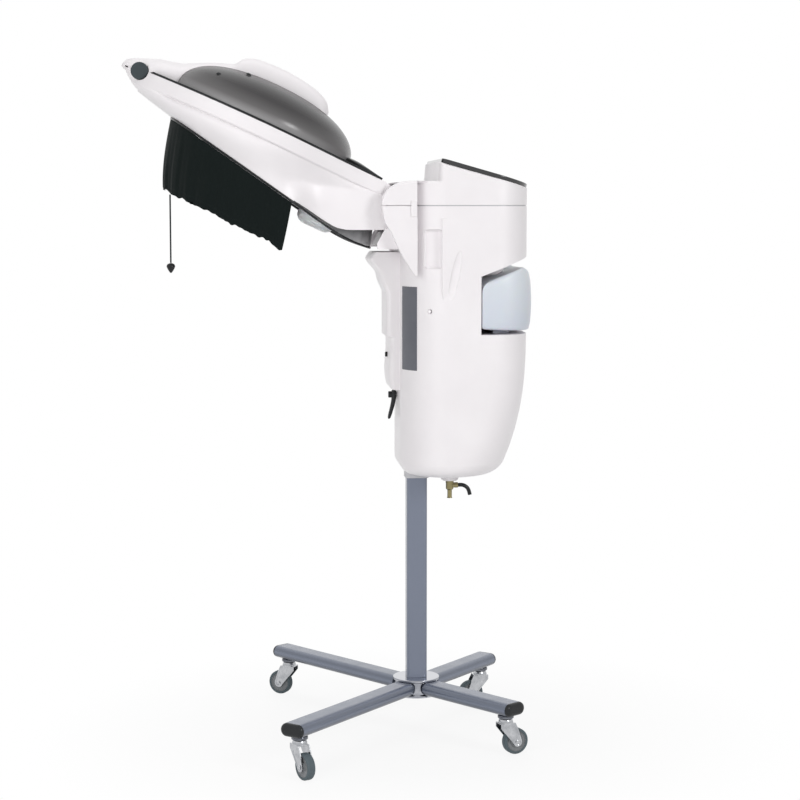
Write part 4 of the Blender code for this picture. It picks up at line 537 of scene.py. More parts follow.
def smooth_rows(rows, steps):
    """Rows of numbers passed through a Catmull-Rom curve, with steps new rows for each old one."""
    made = []
    for index in range(len(rows) - 1):
        before, first = rows[max(index - 1, 0)], rows[index]
        second, after = rows[index + 1], rows[min(index + 2, len(rows) - 1)]
        for step in range(steps):
            t = step / steps
            row = []
            for a, b, c, d in zip(before, first, second, after):
                square, cube = (2 * a - 5 * b + 4 * c - d) * t**2, (3 * b - a - 3 * c + d) * t**3
                row.append(0.5 * (2 * b + (c - a) * t + square + cube))
            made.append(tuple(row))
    made.append(tuple(rows[-1]))
    return made


def to_mesh(work):
    bmesh.ops.recalc_face_normals(work, faces=work.faces)
    mesh = bpy.data.meshes.new("work")
    work.to_mesh(mesh)
    work.free()
    return mesh


def loft(rings, closed=True, cap_start=True, cap_end=True):
    work = bmesh.new()
    rows = [[work.verts.new(point) for point in ring] for ring in rings]
    count = len(rows[0])
    for row, following in zip(rows, rows[1:]):
        for index in range(count if closed else count - 1):
            after = (index + 1) % count
            work.faces.new((row[index], row[after], following[after], following[index]))
    if cap_start:
        work.faces.new(rows[0])
    if cap_end:
        work.faces.new(rows[-1])
    return to_mesh(work)


def welded(mesh):
    """A mesh with its doubled points joined and its empty faces dropped."""
    work = bmesh.new()
    work.from_mesh(mesh)
    bmesh.ops.remove_doubles(work, verts=work.verts, dist=0.000004)
    loose = [face for face in work.faces if face.calc_area() < 1e-14]
    bmesh.ops.delete(work, geom=loose, context="FACES_ONLY")
    bmesh.ops.recalc_face_normals(work, faces=work.faces)
    work.to_mesh(mesh)
    work.free()
    return mesh


def turned(profile, sides=48, bored=False):
    """A profile of (radius, height) points turned about Z."""
    angles = [2 * pi * number / sides for number in range(sides)]
    rings = [[(r * cos(angle), r * sin(angle), z) for r, z in profile] for angle in angles]
    return welded(loft(rings + rings[:1], closed=bored, cap_start=False, cap_end=False))


def rounded(profile, radius, steps=4):
    """A profile with its inner corners rounded."""
    made = [Vector(profile[0])]
    for before, corner, after in zip(profile, profile[1:], profile[2:]):
        before, corner, after = Vector(before), Vector(corner), Vector(after)
        reach = min(radius, (before - corner).length * 0.45, (after - corner).length * 0.45)
        start = corner + (before - corner).normalized() * reach
        end = corner + (after - corner).normalized() * reach
        made += curve_through(start, corner, end, steps)
    made.append(Vector(profile[-1]))
    return [tuple(point) for point in made]


def evaluated(obj):
    """The mesh of an object with its modifiers, after which the object is removed."""
    graph = bpy.context.evaluated_depsgraph_get()
    mesh = bpy.data.meshes.new_from_object(obj.evaluated_get(graph))
    bpy.data.objects.remove(obj, do_unlink=True)
    return mesh


def spline_through(data, points, cyclic):
    spline = data.splines.new("POLY")
    spline.points.add(len(points) - 1)
    for point, place in zip(spline.points, points):
        point.co = (*place, 1.0)
    spline.use_cyclic_u = cyclic


def prism(outline, low, high, hole=None):
    """A flat outline in X and Y, with a hole if asked, between two Z values."""
    data = bpy.data.curves.new("prism", "CURVE")
    data.dimensions = "2D"
    data.fill_mode = "BOTH"
    data.extrude = abs(high - low) / 2
    for line in (outline, hole) if hole else (outline,):
        spline_through(data, [(place[0], place[1], 0.0) for place in line], True)
    mesh = welded(evaluated(shown("prism", data)))
    mesh.transform(moved(0, 0, (low + high) / 2))
    return mesh


def plate_in_y(outline, low, high):
    """A flat outline in X and Z, between two Y values."""
    thickness = abs(high - low)
    mesh = prism(outline, 0.0, thickness)
    mesh.transform(moved(0, 0, -thickness / 2))
    mesh.transform(spun(90, "X"))
    mesh.transform(moved(0, (low + high) / 2, 0))
    return mesh


def block(low, high, bevel=0.0):
    work = bmesh.new()
    bmesh.ops.create_cube(work, size=1.0)
    bmesh.ops.scale(work, vec=Vector(high) - Vector(low), verts=work.verts)
    bmesh.ops.translate(work, vec=(Vector(high) + Vector(low)) / 2, verts=work.verts)
    if bevel:
        bmesh.ops.bevel(work, geom=work.edges[:], offset=bevel, segments=3, affect="EDGES", profile=0.5)
    return to_mesh(work)


def rod(radius, start, end, sides=32):
    start, end = Vector(start), Vector(end)
    place, depth = aimed((start + end) / 2, end - start), (end - start).length
    ends = {"radius1": radius, "radius2": radius, "cap_ends": True}
    work = bmesh.new()
    bmesh.ops.create_cone(work, segments=sides, depth=depth, matrix=place, **ends)
    return to_mesh(work)


def hinge_rod(radius, start, end, sides=32):
    """A rod along the cover's hinge, between two Y values."""
    return rod(radius, (HINGE_X, start, HINGE_Z), (HINGE_X, end, HINGE_Z), sides)


def round_curve(name, points, radius, resolution, cyclic=False):
    data = bpy.data.curves.new(name, "CURVE")
    data.dimensions = "3D"
    data.bevel_depth = radius
    data.bevel_resolution = resolution
    data.use_fill_caps = True
    spline_through(data, points, cyclic)
    return data


def tube(*curve, **settings):
    return welded(evaluated(shown("tube", round_curve("tube", *curve, **settings))))


def add(mesh):
    return "UNION", mesh


def cut(mesh):
    return "DIFFERENCE", mesh


def within(mesh):
    return "INTERSECT", mesh


def carved(mesh, *steps, wall=0.0, even=True):
    """A mesh given a wall, then joined to or cut by other meshes in turn."""
    obj = shown("carved", mesh)
    if wall:
        shell = obj.modifiers.new("wall", "SOLIDIFY")
        shell.thickness = wall
        shell.offset = -1.0
        shell.use_even_offset = even
    tools = []
    for operation, tool_mesh in steps:
        tool = shown("tool", tool_mesh)
        tool.hide_render = True
        step = obj.modifiers.new("step", "BOOLEAN")
        step.operation = operation
        step.solver = "MANIFOLD"
        step.object = tool
        tools.append(tool)
    made = evaluated(obj)
    for tool in tools:
        bpy.data.objects.remove(tool, do_unlink=True)
    return made


def bevelled(mesh, width, segments=2, angle=40.0):
    obj = shown("bevelled", mesh)
    step = obj.modifiers.new("bevel", "BEVEL")
    step.width = width
    step.segments = segments
    step.limit_method = "ANGLE"
    step.angle_limit = radians(angle)
    return evaluated(obj)


def merged(*meshes):
    work = bmesh.new()
    for mesh in meshes:
        work.from_mesh(mesh)
    made = bpy.data.meshes.new("merged")
    work.to_mesh(made)
    work.free()
    return made


def piece(name, mesh, body, slot, nodes=(), place=None, sharp=38.0, finish=None):
    """A finished piece that rides on a body, and stands for the CAD nodes named."""
    if place is not None:
        mesh.transform(place)
    mesh.name = name
    mesh.materials.clear()
    mesh.materials.append(FINISHES[finish or slot])
    mesh.shade_smooth()
    mesh.set_sharp_from_angle(angle=radians(sharp))
    obj = shown(name, mesh)
    weigh = obj.modifiers.new("normals", "WEIGHTED_NORMAL")
    weigh.keep_sharp = True
    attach(obj, body)
    if nodes:
        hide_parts(*nodes)
    return obj


# Stand


def make_legs():
    for name, angle, reach, heading in LEGS:
        turn = moved(0, 0, LEG_Z) @ Matrix.Rotation(angle, 4, "Z")
        oval = flat_oval(LEG_WIDTH, LEG_DEPTH)
        rings = [[(x, p.x, p.y) for p in oval] for x in (HUB_FACE, reach - 0.0006, reach)]
        piece("leg_tube_" + name, loft(rings), "stand", "blue_grey_paint", ("leg_" + name,), turn)
        rings = []
        for rise, fall in quarter(12):
            shrink = 0.017 * fall**1.2
            x = reach + SEAT + CAP_BULGE * rise * 0.88
            rings.append([(x, p.x, p.y) for p in flat_oval(LEG_WIDTH - shrink, LEG_DEPTH - shrink)])
        piece("leg_end_" + name, loft(rings), "stand", "black_plastic", ("leg_cap_" + name,), turn)
        make_caster(name, angle, reach - CASTER_INSET, heading)


def make_caster(name, angle, radius, heading):
    spot = moved(radius * cos(angle), radius * sin(angle), 0) @ Matrix.Rotation(heading, 4, "Z")
    caster, wheel, zinc = "caster_" + name, "wheel_" + name, "zinc_plate"
    top = CASTER_HEIGHT - RUN
    groove, bridge = top - RACE_DEPTH, top - RACE_DEPTH - 0.008
    side, reach = FORK_INSIDE + FORK_SHEET, FORK_TOP_REACH
    centre = (CASTER_TRAIL, WHEEL_RADIUS)
    arm = [Vector((-reach, bridge)), Vector((-reach, bridge - 0.009)), *arc(centre, 0.009, -160, 20, 20)]
    arm += [Vector((reach + 0.006, bridge - 0.012)), Vector((reach, bridge))]
    rib = [p + (Vector(centre) - p) * 0.30 for p in arm]
    steps = []
    for sign in (-1, 1):
        outer, inner = sign * side, sign * (side - FORK_SHEET)
        steps.append(add(plate_in_y(arm, outer, inner)))
        steps.append(cut(plate_in_y(rib, outer + sign * 0.001, outer - sign * 0.0006)))
    collar = [(0, 0.0075), (0.0125, 0.0075), (0.0140, 0.003), (0.0142, -0.001), (0, -0.001)]
    collar = [(r, bridge + z) for r, z in collar]
    steps.append(add(turned(rounded(collar, 0.001), 40)))
    yoke = carved(block((-reach, -side, bridge - FORK_SHEET), (reach, side, bridge), 0.0008), *steps)
    piece("fork_yoke_" + name, yoke, caster, zinc, ("caster_fork_" + name,), spot)
    race = [
        (STEM_RADIUS, top + 0.0003),
        (RACE_RADIUS - 0.002, top),
        (RACE_RADIUS, top - 0.002),
        (RACE_RADIUS, groove + 0.001),
        (RACE_RADIUS - 0.003, groove + 0.0005),
        (STEM_RADIUS, groove - 0.0002),
    ]
    race = turned(rounded(race, 0.0012), 48, bored=True)
    piece("fork_race_" + name, race, caster, zinc, (), spot, finish="race_chrome")
    tip = top + 0.0098
    stem = [(0, tip), (STEM_RADIUS - 0.001, tip), (STEM_RADIUS, top + 0.0085)]
    stem += [(STEM_RADIUS, groove), (0, groove)]
    piece("fork_stem_" + name, turned(stem, 24), caster, zinc, (), spot)
    axle = spot @ (moved(CASTER_TRAIL, 0, WHEEL_RADIUS) @ spun(-90, "X"))
    end = side + 0.002
    head = [(0, end), (0.0030, end), (0.0040, end - 0.0012), (0.0040, side)]
    pin = head + [(0.0032, side), (0.0032, -side)] + flipped(head)
    piece("fork_axle_" + name, turned(pin, 28), caster, zinc, (), axle)
    half, web = WHEEL_WIDTH / 2, 0.0055
    lip = half - 0.0018
    core = [(0.0045, half), (0.0085, half), (0.0095, web), (0.0178, web), (0.0188, lip), (0.0196, lip)]
    core = turned(rounded(core + flipped(core), 0.0008), 48, bored=True)
    piece("wheel_core_" + name, core, wheel, None, (), axle, finish="wheel_core")
    tyre = [(0.0197, lip), (0.0205, half - 0.0010), (0.0235, half - 0.0010), (0.0250, half - 0.0035)]
    tyre = turned(rounded(tyre + flipped(tyre), 0.0016), 64, bored=True)
    piece("wheel_tyre_" + name, tyre, wheel, "grey_rubber", ("caster_wheel_" + name,), axle)


def make_hub_and_column():
    low, under = LEG_Z - LEG_DEPTH / 2 - SEAT, HUB_TOP - HUB_PLATE
    upper = [(HUB_BORE, HUB_TOP), (HUB_RADIUS, HUB_TOP), (HUB_RADIUS, under), (HUB_BORE, under)]
    core, core_top, foot = HUB_FACE - SEAT, under - SEAT, low - HUB_PLATE
    well = foot + HUB_WELL_DEPTH
    lower = [(HUB_BORE, core_top), (core, core_top), (core, low), (HUB_RADIUS, low)]
    lower += [(HUB_RADIUS, foot), (HUB_WELL, foot), (HUB_WELL, well), (HUB_BORE, well)]
    for name, profile, node in (("upper", upper, "hub_top_plate"), ("lower", lower, "hub_base")):
        plate = turned(rounded(profile, 0.0018), 72, bored=True)
        piece("hub_plate_" + name, plate, "stand", "chrome", (node,))
    outer, inner = round_square(COLUMN_WIDTH, COLUMN_CORNER), round_square(COLUMN_WIDTH - 0.004, 0.004)
    column = prism(outer, COLUMN_FOOT, COLUMN_FOOT + COLUMN_LENGTH, inner)
    piece("column", column, "stand", "blue_grey_paint", ("column_tube",))


# Steam head


def head_rear(z):
    drop = max(0.0, (TAPER_TOP - z) / (TAPER_TOP - HEAD_BOTTOM))
    return HEAD_REAR - DRAW_IN * drop**TAPER_POWER


def side_y(x):
    """Half the head's width at a place on its rounded front half."""
    reach = max(0.0, HEAD_FRONT + FRONT_CORNER - x)
    return HALF_WIDTH - FRONT_CORNER + sqrt(max(0.0, FRONT_CORNER**2 - reach**2))


def half_plan(rear, inset, side):
    front, width = HEAD_FRONT + inset, HALF_WIDTH - inset
    drawn = (HEAD_REAR - rear) / DRAW_IN
    front_corner, rear_corner = FRONT_CORNER - inset, REAR_CORNER + 0.036 * drawn - inset
    outline = [Vector((front, SEAT / 2))]
    outline += arc((front + front_corner, width - front_corner), front_corner, 180, 90, 28)
    outline += arc((rear - inset - rear_corner, width - rear_corner), rear_corner, 90, 0, 18)
    outline.append(Vector((rear - inset, SEAT / 2)))
    return [Vector((point.x, side * point.y)) for point in outline]


def whole_plan(rear, inset):
    near, far = (half_plan(rear, inset, side)[1:-1] for side in (-1, 1))
    return near + far[::-1]


def head_levels():
    low = HEAD_BOTTOM + BOTTOM_ROUND
    levels = [(PART_LINE - LINE_GAP, 0.0), (TAPER_TOP, 0.0)]
    levels += [(TAPER_TOP + (low - TAPER_TOP) * step / 12, 0.0) for step in range(1, 13)]
    return levels + [(low - BOTTOM_ROUND * fall, BOTTOM_ROUND * inset) for fall, inset in quarter(9, 1)]


def bay_top(x):
    return BAY_FRONT_TOP + BAY_SLOPE * (x - BAY_FRONT)


def ear_outline():
    top = PART_LINE - LINE_GAP
    edge = [
        (EAR_FRONT, top),
        (EAR_FRONT + 0.006, PART_LINE - 0.031),
        (EAR_FRONT + 0.018, PART_LINE - 0.051),
        (EAR_FRONT + 0.037, PART_LINE - 0.092),
        (EAR_REAR - 0.004, EAR_TIP),
    ]
    return smooth_rows(edge, 5) + [(EAR_REAR, EAR_TIP), (EAR_REAR, top)]


def ear_tab_outline():
    rise, low, rear = COVER_TOP - SKIN - 0.0015, PART_LINE - 0.020, EAR_REAR - 0.003
    crown = arc((EAR_FRONT + 0.052, rise - EAR_CROWN), EAR_CROWN, 90, 170, 12)
    return [(rear, low), (rear, rise), *crown, (EAR_FRONT + 0.008, low)]


def blade_mesh(side):
    """The long flat leaf on each side: proud of the rounded corner, flush with the flat of the side."""
    rings, root = [], 0.128
    for z, front, rear, face in smooth_rows(BLADE, 4):
        corners = [(front + 0.0012, root), (front, face + 0.0006), (front + 0.0014, face + 0.0018)]
        corners += [(rear, face), (rear, root)]
        rings.append([(x, side * y, z) for x, y in corners])
    return loft(rings)


def flute_mesh(side):
    """A long thin spindle that cuts the shallow flute behind the leaf."""
    start, end = (Vector((x, 0, z)) for x, z in (FLUTE_START, FLUTE_END))
    work = bmesh.new()
    bmesh.ops.create_uvsphere(work, u_segments=32, v_segments=32, radius=1.0)
    bmesh.ops.scale(work, vec=(0.0085, 0.0030, (end - start).length / 2), verts=work.verts)
    middle = (start + end) / 2 + Vector((0, side * (HALF_WIDTH + 0.0002), 0))
    lean = Matrix.Rotation(atan2(end.x - start.x, end.z - start.z), 4, "Y")
    bmesh.ops.transform(work, matrix=Matrix.Translation(middle) @ lean, verts=work.verts)
    return to_mesh(work)


def pocket_mesh(side, grow):
    """The finger pocket's hollow, or the patch of wall behind it; its floor slopes in towards the rear."""
    front, rear = POCKET_X - POCKET_LENGTH / 2 - grow, POCKET_X + POCKET_LENGTH / 2 + grow
    low, high = POCKET_Z - POCKET_HEIGHT / 2 - grow, POCKET_Z + POCKET_HEIGHT / 2 + grow
    outline = [(front, POCKET_FLOOR[0] - grow), (rear, POCKET_FLOOR[1] - grow)]
    if grow:
        places = [rear + (front - rear) * step / 12 for step in range(13)]
        outline += [(x, side_y(x) - SKIN / 2) for x in places]
    else:
        outline += [(rear, HALF_WIDTH + 0.02), (front, HALF_WIDTH + 0.02)]
    mesh = prism([(x, side * y) for x, y in outline], low, high)
    return mesh if grow else bevelled(mesh, 0.0070, 6, 30.0)


def make_housing(name, side):
    rings = [level(half_plan(head_rear(z), inset, side), z) for z, inset in head_levels()]
    window, sill, web_foot = EAR_INNER + 0.0008, 0.957, 0.930
    outer, sleeve = HALF_WIDTH + EAR_PROUD, 0.0233
    web = sorted((side * 0.1118, side * (outer - 0.0005)))
    recess, far = side_y(RECESS_X) - 0.0022, HEAD_REAR + 0.05
    bay = [(BAY_FRONT, BAY_FLOOR), (BAY_FRONT, BAY_FRONT_TOP), (far, bay_top(far)), (far, BAY_FLOOR)]
    x, y, radius = (DRAIN_X, DRAIN_Y, 0.0063) if side < 0 else (GLAND_X, GLAND_Y, 0.0083)
    below, above = HEAD_BOTTOM - 0.01, HEAD_BOTTOM + 0.02
    steps = (
        cut(block((HEAD_FRONT - 0.05, -window, sill), (EAR_REAR - 0.002, window, PART_LINE + 0.05))),
        add(block((EAR_REAR - 0.004, web[0], web_foot), (EAR_REAR - 0.0002, web[1], PART_LINE - LINE_GAP))),
        add(plate_in_y(ear_outline(), side * EAR_INNER, side * outer)),
        add(plate_in_y(ear_tab_outline(), side * EAR_INNER, side * (outer - SKIN - 0.0015))),
        cut(rod(0.0063, (PIVOT.x, 0, PIVOT.z), (PIVOT.x, side * (HALF_WIDTH - 0.005), PIVOT.z))),
        add(blade_mesh(side)),
        add(pocket_mesh(side, SKIN)),
        cut(pocket_mesh(side, 0.0)),
        cut(flute_mesh(side)),
        cut(rod(0.0048, (RECESS_X, side * recess, RECESS_Z), (RECESS_X, side * 0.16, RECESS_Z), 40)),
        cut(plate_in_y(bay, -0.165, 0.165)),
        cut(block((-sleeve, -sleeve, below), (sleeve, sleeve, above))),
        cut(rod(0.006, (HEAD_FRONT - 0.01, 0, CLAMP_Z), (HEAD_FRONT + 0.015, 0, CLAMP_Z))),
        cut(rod(radius, (x, y, below), (x, y, above))),
    )
    shell = carved(loft(rings, closed=False, cap_start=False), *steps, wall=SKIN, even=False)
    piece("shell_" + name, shell, "head", "white_plastic", ("housing_" + name,))


def cover_half_width(x):
    if x < EAR_REAR:
        return HALF_WIDTH + EAR_PROUD
    if x < HEAD_FRONT + FRONT_CORNER:
        return side_y(x)
    reach = min(max(0.0, x - (HEAD_REAR - REAR_CORNER)), REAR_CORNER)
    return HALF_WIDTH - REAR_CORNER + sqrt(REAR_CORNER**2 - reach**2)


def console_top(x):
    return CONSOLE_FRONT_TOP - CONSOLE_SLOPE * (x - CONSOLE_FRONT)


def cover_sections():
    """X, top and half width at the top, from the lid's front to its rear."""
    crown, flat, step_rear = 0.052, HALF_WIDTH - CONSOLE_CORNER, EAR_REAR + 0.0015
    sections = []
    for step in range(17):
        turn = radians(172 - 82 * step / 16)
        top = COVER_TOP - EAR_CROWN + EAR_CROWN * sin(turn)
        sections.append((EAR_FRONT + crown + crown * cos(turn), top, flat))
    sections += [(EAR_REAR - 0.0005, COVER_TOP, flat), (step_rear, COVER_TOP, flat)]
    run = CONSOLE_FRONT - CONSOLE_DRAFT / 2 - EAR_REAR - 0.0015
    sections += [(step_rear + run * step / 8, COVER_TOP, flat) for step in range(1, 9)]
    for number, (out, back) in enumerate(quarter(10)):
        x = CONSOLE_FRONT + CONSOLE_DRAFT / 2 + CONSOLE_CORNER * back
        sections.append((x, console_top(x) - (0.0 if number else 0.002), flat + CONSOLE_CORNER * out))
    for step in range(19):
        x = HEAD_REAR - REAR_CORNER + REAR_CORNER * sin(radians(86 * step / 18))
        sections.append((x, console_top(x), cover_half_width(x)))
    return sections


def cover_section(x, top, console_half):
    half, low = cover_half_width(x), PART_LINE + LINE_GAP
    edge = min(COVER_ROUND, (top - low) * 0.4)
    shoulder = min(COVER_TOP, top)
    narrow = half - console_half
    inset = 0.0 if narrow < 0.001 else min(edge, narrow * 0.6)
    right = [(half, low), (half, (low + shoulder - edge) / 2)]
    for step, (rise, back) in enumerate(quarter(8)):
        plain = shoulder - edge * (1 - 0.7 * step / 8)
        right.append((half - inset * back, shoulder - edge + edge * rise if inset else plain))
    corner = min(COVER_ROUND, max(0.0, top - shoulder) * 0.6)
    for rise, back in quarter(9):
        right.append((console_half - max(corner, 0.002) * back, top - corner + corner * rise))
    left = [(-y, z) for y, z in right]
    return [(x, y, z) for y, z in left + right[::-1]]


def make_top_cover():
    rings = [cover_section(*section) for section in cover_sections()]
    slot_rear = CONSOLE_FRONT - CONSOLE_DRAFT / 2 - 0.0005
    low, high, room = PART_LINE - 0.02, COVER_TOP + 0.02, NECK_HALF + 0.0012
    slot = block((EAR_FRONT - 0.02, -EAR_INNER, low), (EAR_REAR - 0.002, EAR_INNER, high))
    rear_slot = block((EAR_REAR - 0.003, -room, low), (slot_rear, room, high))
    cover = carved(loft(rings, closed=False), cut(slot), cut(rear_slot), wall=SKIN, even=False)
    piece("lid", cover, "head", "white_plastic", ("top_cover",))


def make_tongue():
    """The lip inside the part line, which the lid locates on; it is grey as painted shade in the part line's
    gap.
    """
    low, high = PART_LINE - 0.006, PART_LINE + 0.006
    band = prism(whole_plan(HEAD_REAR, 0.0022), low, high, whole_plan(HEAD_REAR, 0.0046))
    gap = block((HEAD_FRONT - 0.02, -EAR_INNER, low - 0.01), (EAR_REAR - 0.002, EAR_INNER, high + 0.01))
    # Grey finish: painted shade in the part line's gap.
    piece("part_line_tongue", carved(band, cut(gap)), "head", None, (), finish="grey_plastic")


def panel_outline(inset):
    stretch = sqrt(1 + CONSOLE_SLOPE**2)
    middle = (CONSOLE_FRONT + HEAD_REAR) / 2
    front, width = CONSOLE_FRONT + 0.004 + inset, HALF_WIDTH - PANEL_INSET - inset
    rear, rear_corner = HEAD_REAR - PANEL_INSET - inset, REAR_CORNER - PANEL_INSET - inset
    right = arc((front + 0.012, width - 0.012), 0.012, 180, 90, 12)
    right += arc((rear - rear_corner, width - rear_corner), rear_corner, 90, 0, 24)
    return [Vector(((point.x - middle) * stretch, point.y)) for point in with_mirror(right)]


def make_panel():
    middle, top = (CONSOLE_FRONT + HEAD_REAR) / 2, PANEL_THICKNESS
    place = moved(middle, 0, console_top(middle)) @ Matrix.Rotation(atan(CONSOLE_SLOPE), 4, "Y")
    edge = top - PANEL_ROUND
    levels = [(SEAT, 0.0), (edge, 0.0)]
    levels += [(edge + PANEL_ROUND * rise, PANEL_ROUND * inset) for rise, inset in quarter(5, 1)]
    rings = [level(panel_outline(inset), z) for z, inset in levels]
    steps = []
    for y in (-0.026, 0.026):
        steps.append(cut(block((0.0335, y - 0.0155, top - 0.0053), (0.0565, y + 0.0155, top + 0.003))))
    steps.append(cut(block((-0.055, -0.060, top - 0.0010), (-0.010, 0.060, top + 0.002), 0.0004)))
    panel = carved(loft(rings), *steps)
    piece("panel_face", panel, "head", "panel_gloss_black", ("control_panel",), place)
    glass = block((-0.0547, -0.0597, top - 0.0009), (-0.0103, 0.0597, top - 0.0003), 0.0002)
    piece("panel_display", glass, "head", None, (), place, finish="display")


def front_cover_rows():
    """Height, and how far the cover stands out from the housing's front."""
    low, high, bottom, top, ledge = 0.0185, 0.026, 0.686, 0.951, 0.788
    lower = (
        (bottom, low - 0.006),
        (bottom + 0.006, low - 0.001),
        (bottom + 0.034, low + 0.0025),
        (BUTTON_Z + 0.009, low),
        (ledge - 0.001, low),
    )
    upper = (
        (0.874, high),
        (0.894, high + 0.009),
        (0.912, high + 0.014),
        (0.925, 0.051),
        (0.936, 0.058),
        (top - 0.008, 0.056),
        (top, 0.050),
    )
    return smooth_rows(lower, 5) + [(ledge + 0.002, high)] + smooth_rows(upper, 6)


def make_front_cover():
    rings = []
    back, half = HEAD_FRONT + 0.012, 0.060
    for z, proud in front_cover_rows():
        front = HEAD_FRONT - proud
        corner = min(0.010, (back - front) * 0.9)
        right = [Vector((back, half))] + arc((front + corner, half - corner), corner, 90, 180, 12)
        rings.append(level(with_mirror(right), z))
    hole = rod(0.0055, (HEAD_FRONT - 0.03, 0, BUTTON_Z), (HEAD_FRONT - 0.006, 0, BUTTON_Z))
    cover = carved(loft(rings, closed=False), cut(hole), wall=0.0025)
    piece("front_shell", cover, "head", "white_plastic", ("front_cover",))


def make_bay():
    """The recess that the tank slides into."""
    sheet, far = 0.0025, HEAD_REAR + 0.02
    outline = [
        (far, BAY_FLOOR),
        (BAY_FRONT, BAY_FLOOR),
        (BAY_FRONT, BAY_FRONT_TOP),
        (far, bay_top(far)),
        (far, bay_top(far) + sheet),
        (BAY_FRONT - sheet, BAY_FRONT_TOP + 0.7 * sheet),
        (BAY_FRONT - sheet, BAY_FLOOR - sheet),
        (far, BAY_FLOOR - sheet),
    ]
    room = prism(whole_plan(head_rear(BAY_FLOOR), SKIN + SEAT), BAY_FLOOR - 0.02, bay_top(far) + 0.02)
    liner = carved(plate_in_y(outline, -HALF_WIDTH, HALF_WIDTH), within(room))
    piece("bay_liner", liner, "head", "white_plastic", ("tank_bay",))


def tank_plan(inset, drawn=0.0):
    front, rear = BAY_FRONT + 0.0014 + inset, HEAD_REAR + 0.010 - inset - drawn
    width = HALF_WIDTH - 0.002 - inset
    corner, rear_corner = 0.004 - min(inset, 0.003), REAR_CORNER - inset
    right = arc((front + corner, width - corner), corner, 180, 90, 8)
    return with_mirror(right + arc((rear - rear_corner, width - rear_corner), rear_corner, 90, 0, 24))


def tank_top(x):
    limit = HEAD_REAR - 0.012
    return bay_top(min(x, limit)) - 0.015 - max(0.0, x - limit) * 0.45


def tank_foot(x):
    """The height of the tank's lower edge, which stands clear of the bay's floor on a plinth."""
    return BAY_FLOOR + SEAT + 0.010 - 0.045 * (x - BAY_FRONT)


def tank_rings():
    floor = BAY_FLOOR + SEAT
    rings = [level(tank_plan(0.036, 0.006), z) for z in (floor, floor + 0.005)]
    for step in range(8):
        turn = radians(90 * step / 7)
        lift, inset = 0.007 * (1 - cos(turn)), 0.007 * (1 - sin(turn))
        rings.append([(p.x, p.y, tank_foot(p.x) + lift) for p in tank_plan(inset, 0.004)])
    for step in range(1, 8):
        share = step / 8
        plan = tank_plan(0.0, 0.016 * (share - 0.5) ** 2)
        heights = [tank_foot(p.x) * (1 - share) + (tank_top(p.x) - 0.003) * share for p in plan]
        rings.append([(p.x, p.y, z) for p, z in zip(plan, heights)])
    for rise, back in quarter(7):
        drop, inset = 0.010 * (1 - rise), 0.008 * back
        rings.append([(p.x, p.y, tank_top(p.x) - drop) for p in tank_plan(inset, 0.004)])
    return rings


def make_tank():
    front, brow, round_off, low = BAY_FRONT + 0.0014, tank_top(BAY_FRONT), 0.020, BAY_FLOOR + SEAT - 0.01
    start, corner = Vector((front - 0.0002, brow - round_off)), Vector((front, brow))
    end = Vector((front + round_off, brow + 0.0003 + BAY_SLOPE * round_off))
    outline = curve_through(start, corner, end, 14)
    outline += [(front + 0.03, brow + 0.06), (0.25, brow + 0.12), (0.25, low), (front - 0.0002, low)]
    solid = carved(loft(tank_rings()), within(plate_in_y(outline, -0.16, 0.16)))
    x = BAY_FRONT + 0.042
    filler = moved(x, 0, tank_top(x)) @ Matrix.Rotation(-atan(BAY_SLOPE), 4, "Y")
    hole = rod(0.018, (0, 0, -0.012), (0, 0, 0.010), 48)
    hole.transform(filler)
    hollow = carved(solid, cut(hole), wall=0.0025, even=False)
    piece("tank_body", hollow, "tank", "frosted_clear", ("water_tank",))
    plug = 0.0175
    profile = [(0, 0.004), (0.022, 0.004), (0.022, SEAT), (plug, SEAT), (plug, -0.0025), (0, -0.0025)]
    cap = turned(rounded(profile, 0.0009), 64)
    grip = []
    for number in range(60):
        radius = 0.0215 + 0.0005 * cos(12 * pi * number / 60) ** 2
        grip.append((radius * cos(2 * pi * number / 60), radius * sin(2 * pi * number / 60)))
    cap = merged(cap, prism(grip, SEAT + 0.0004, 0.0034))
    piece("tank_filler_cap", cap, "tank", "white_plastic", ("tank_cap",), filler)


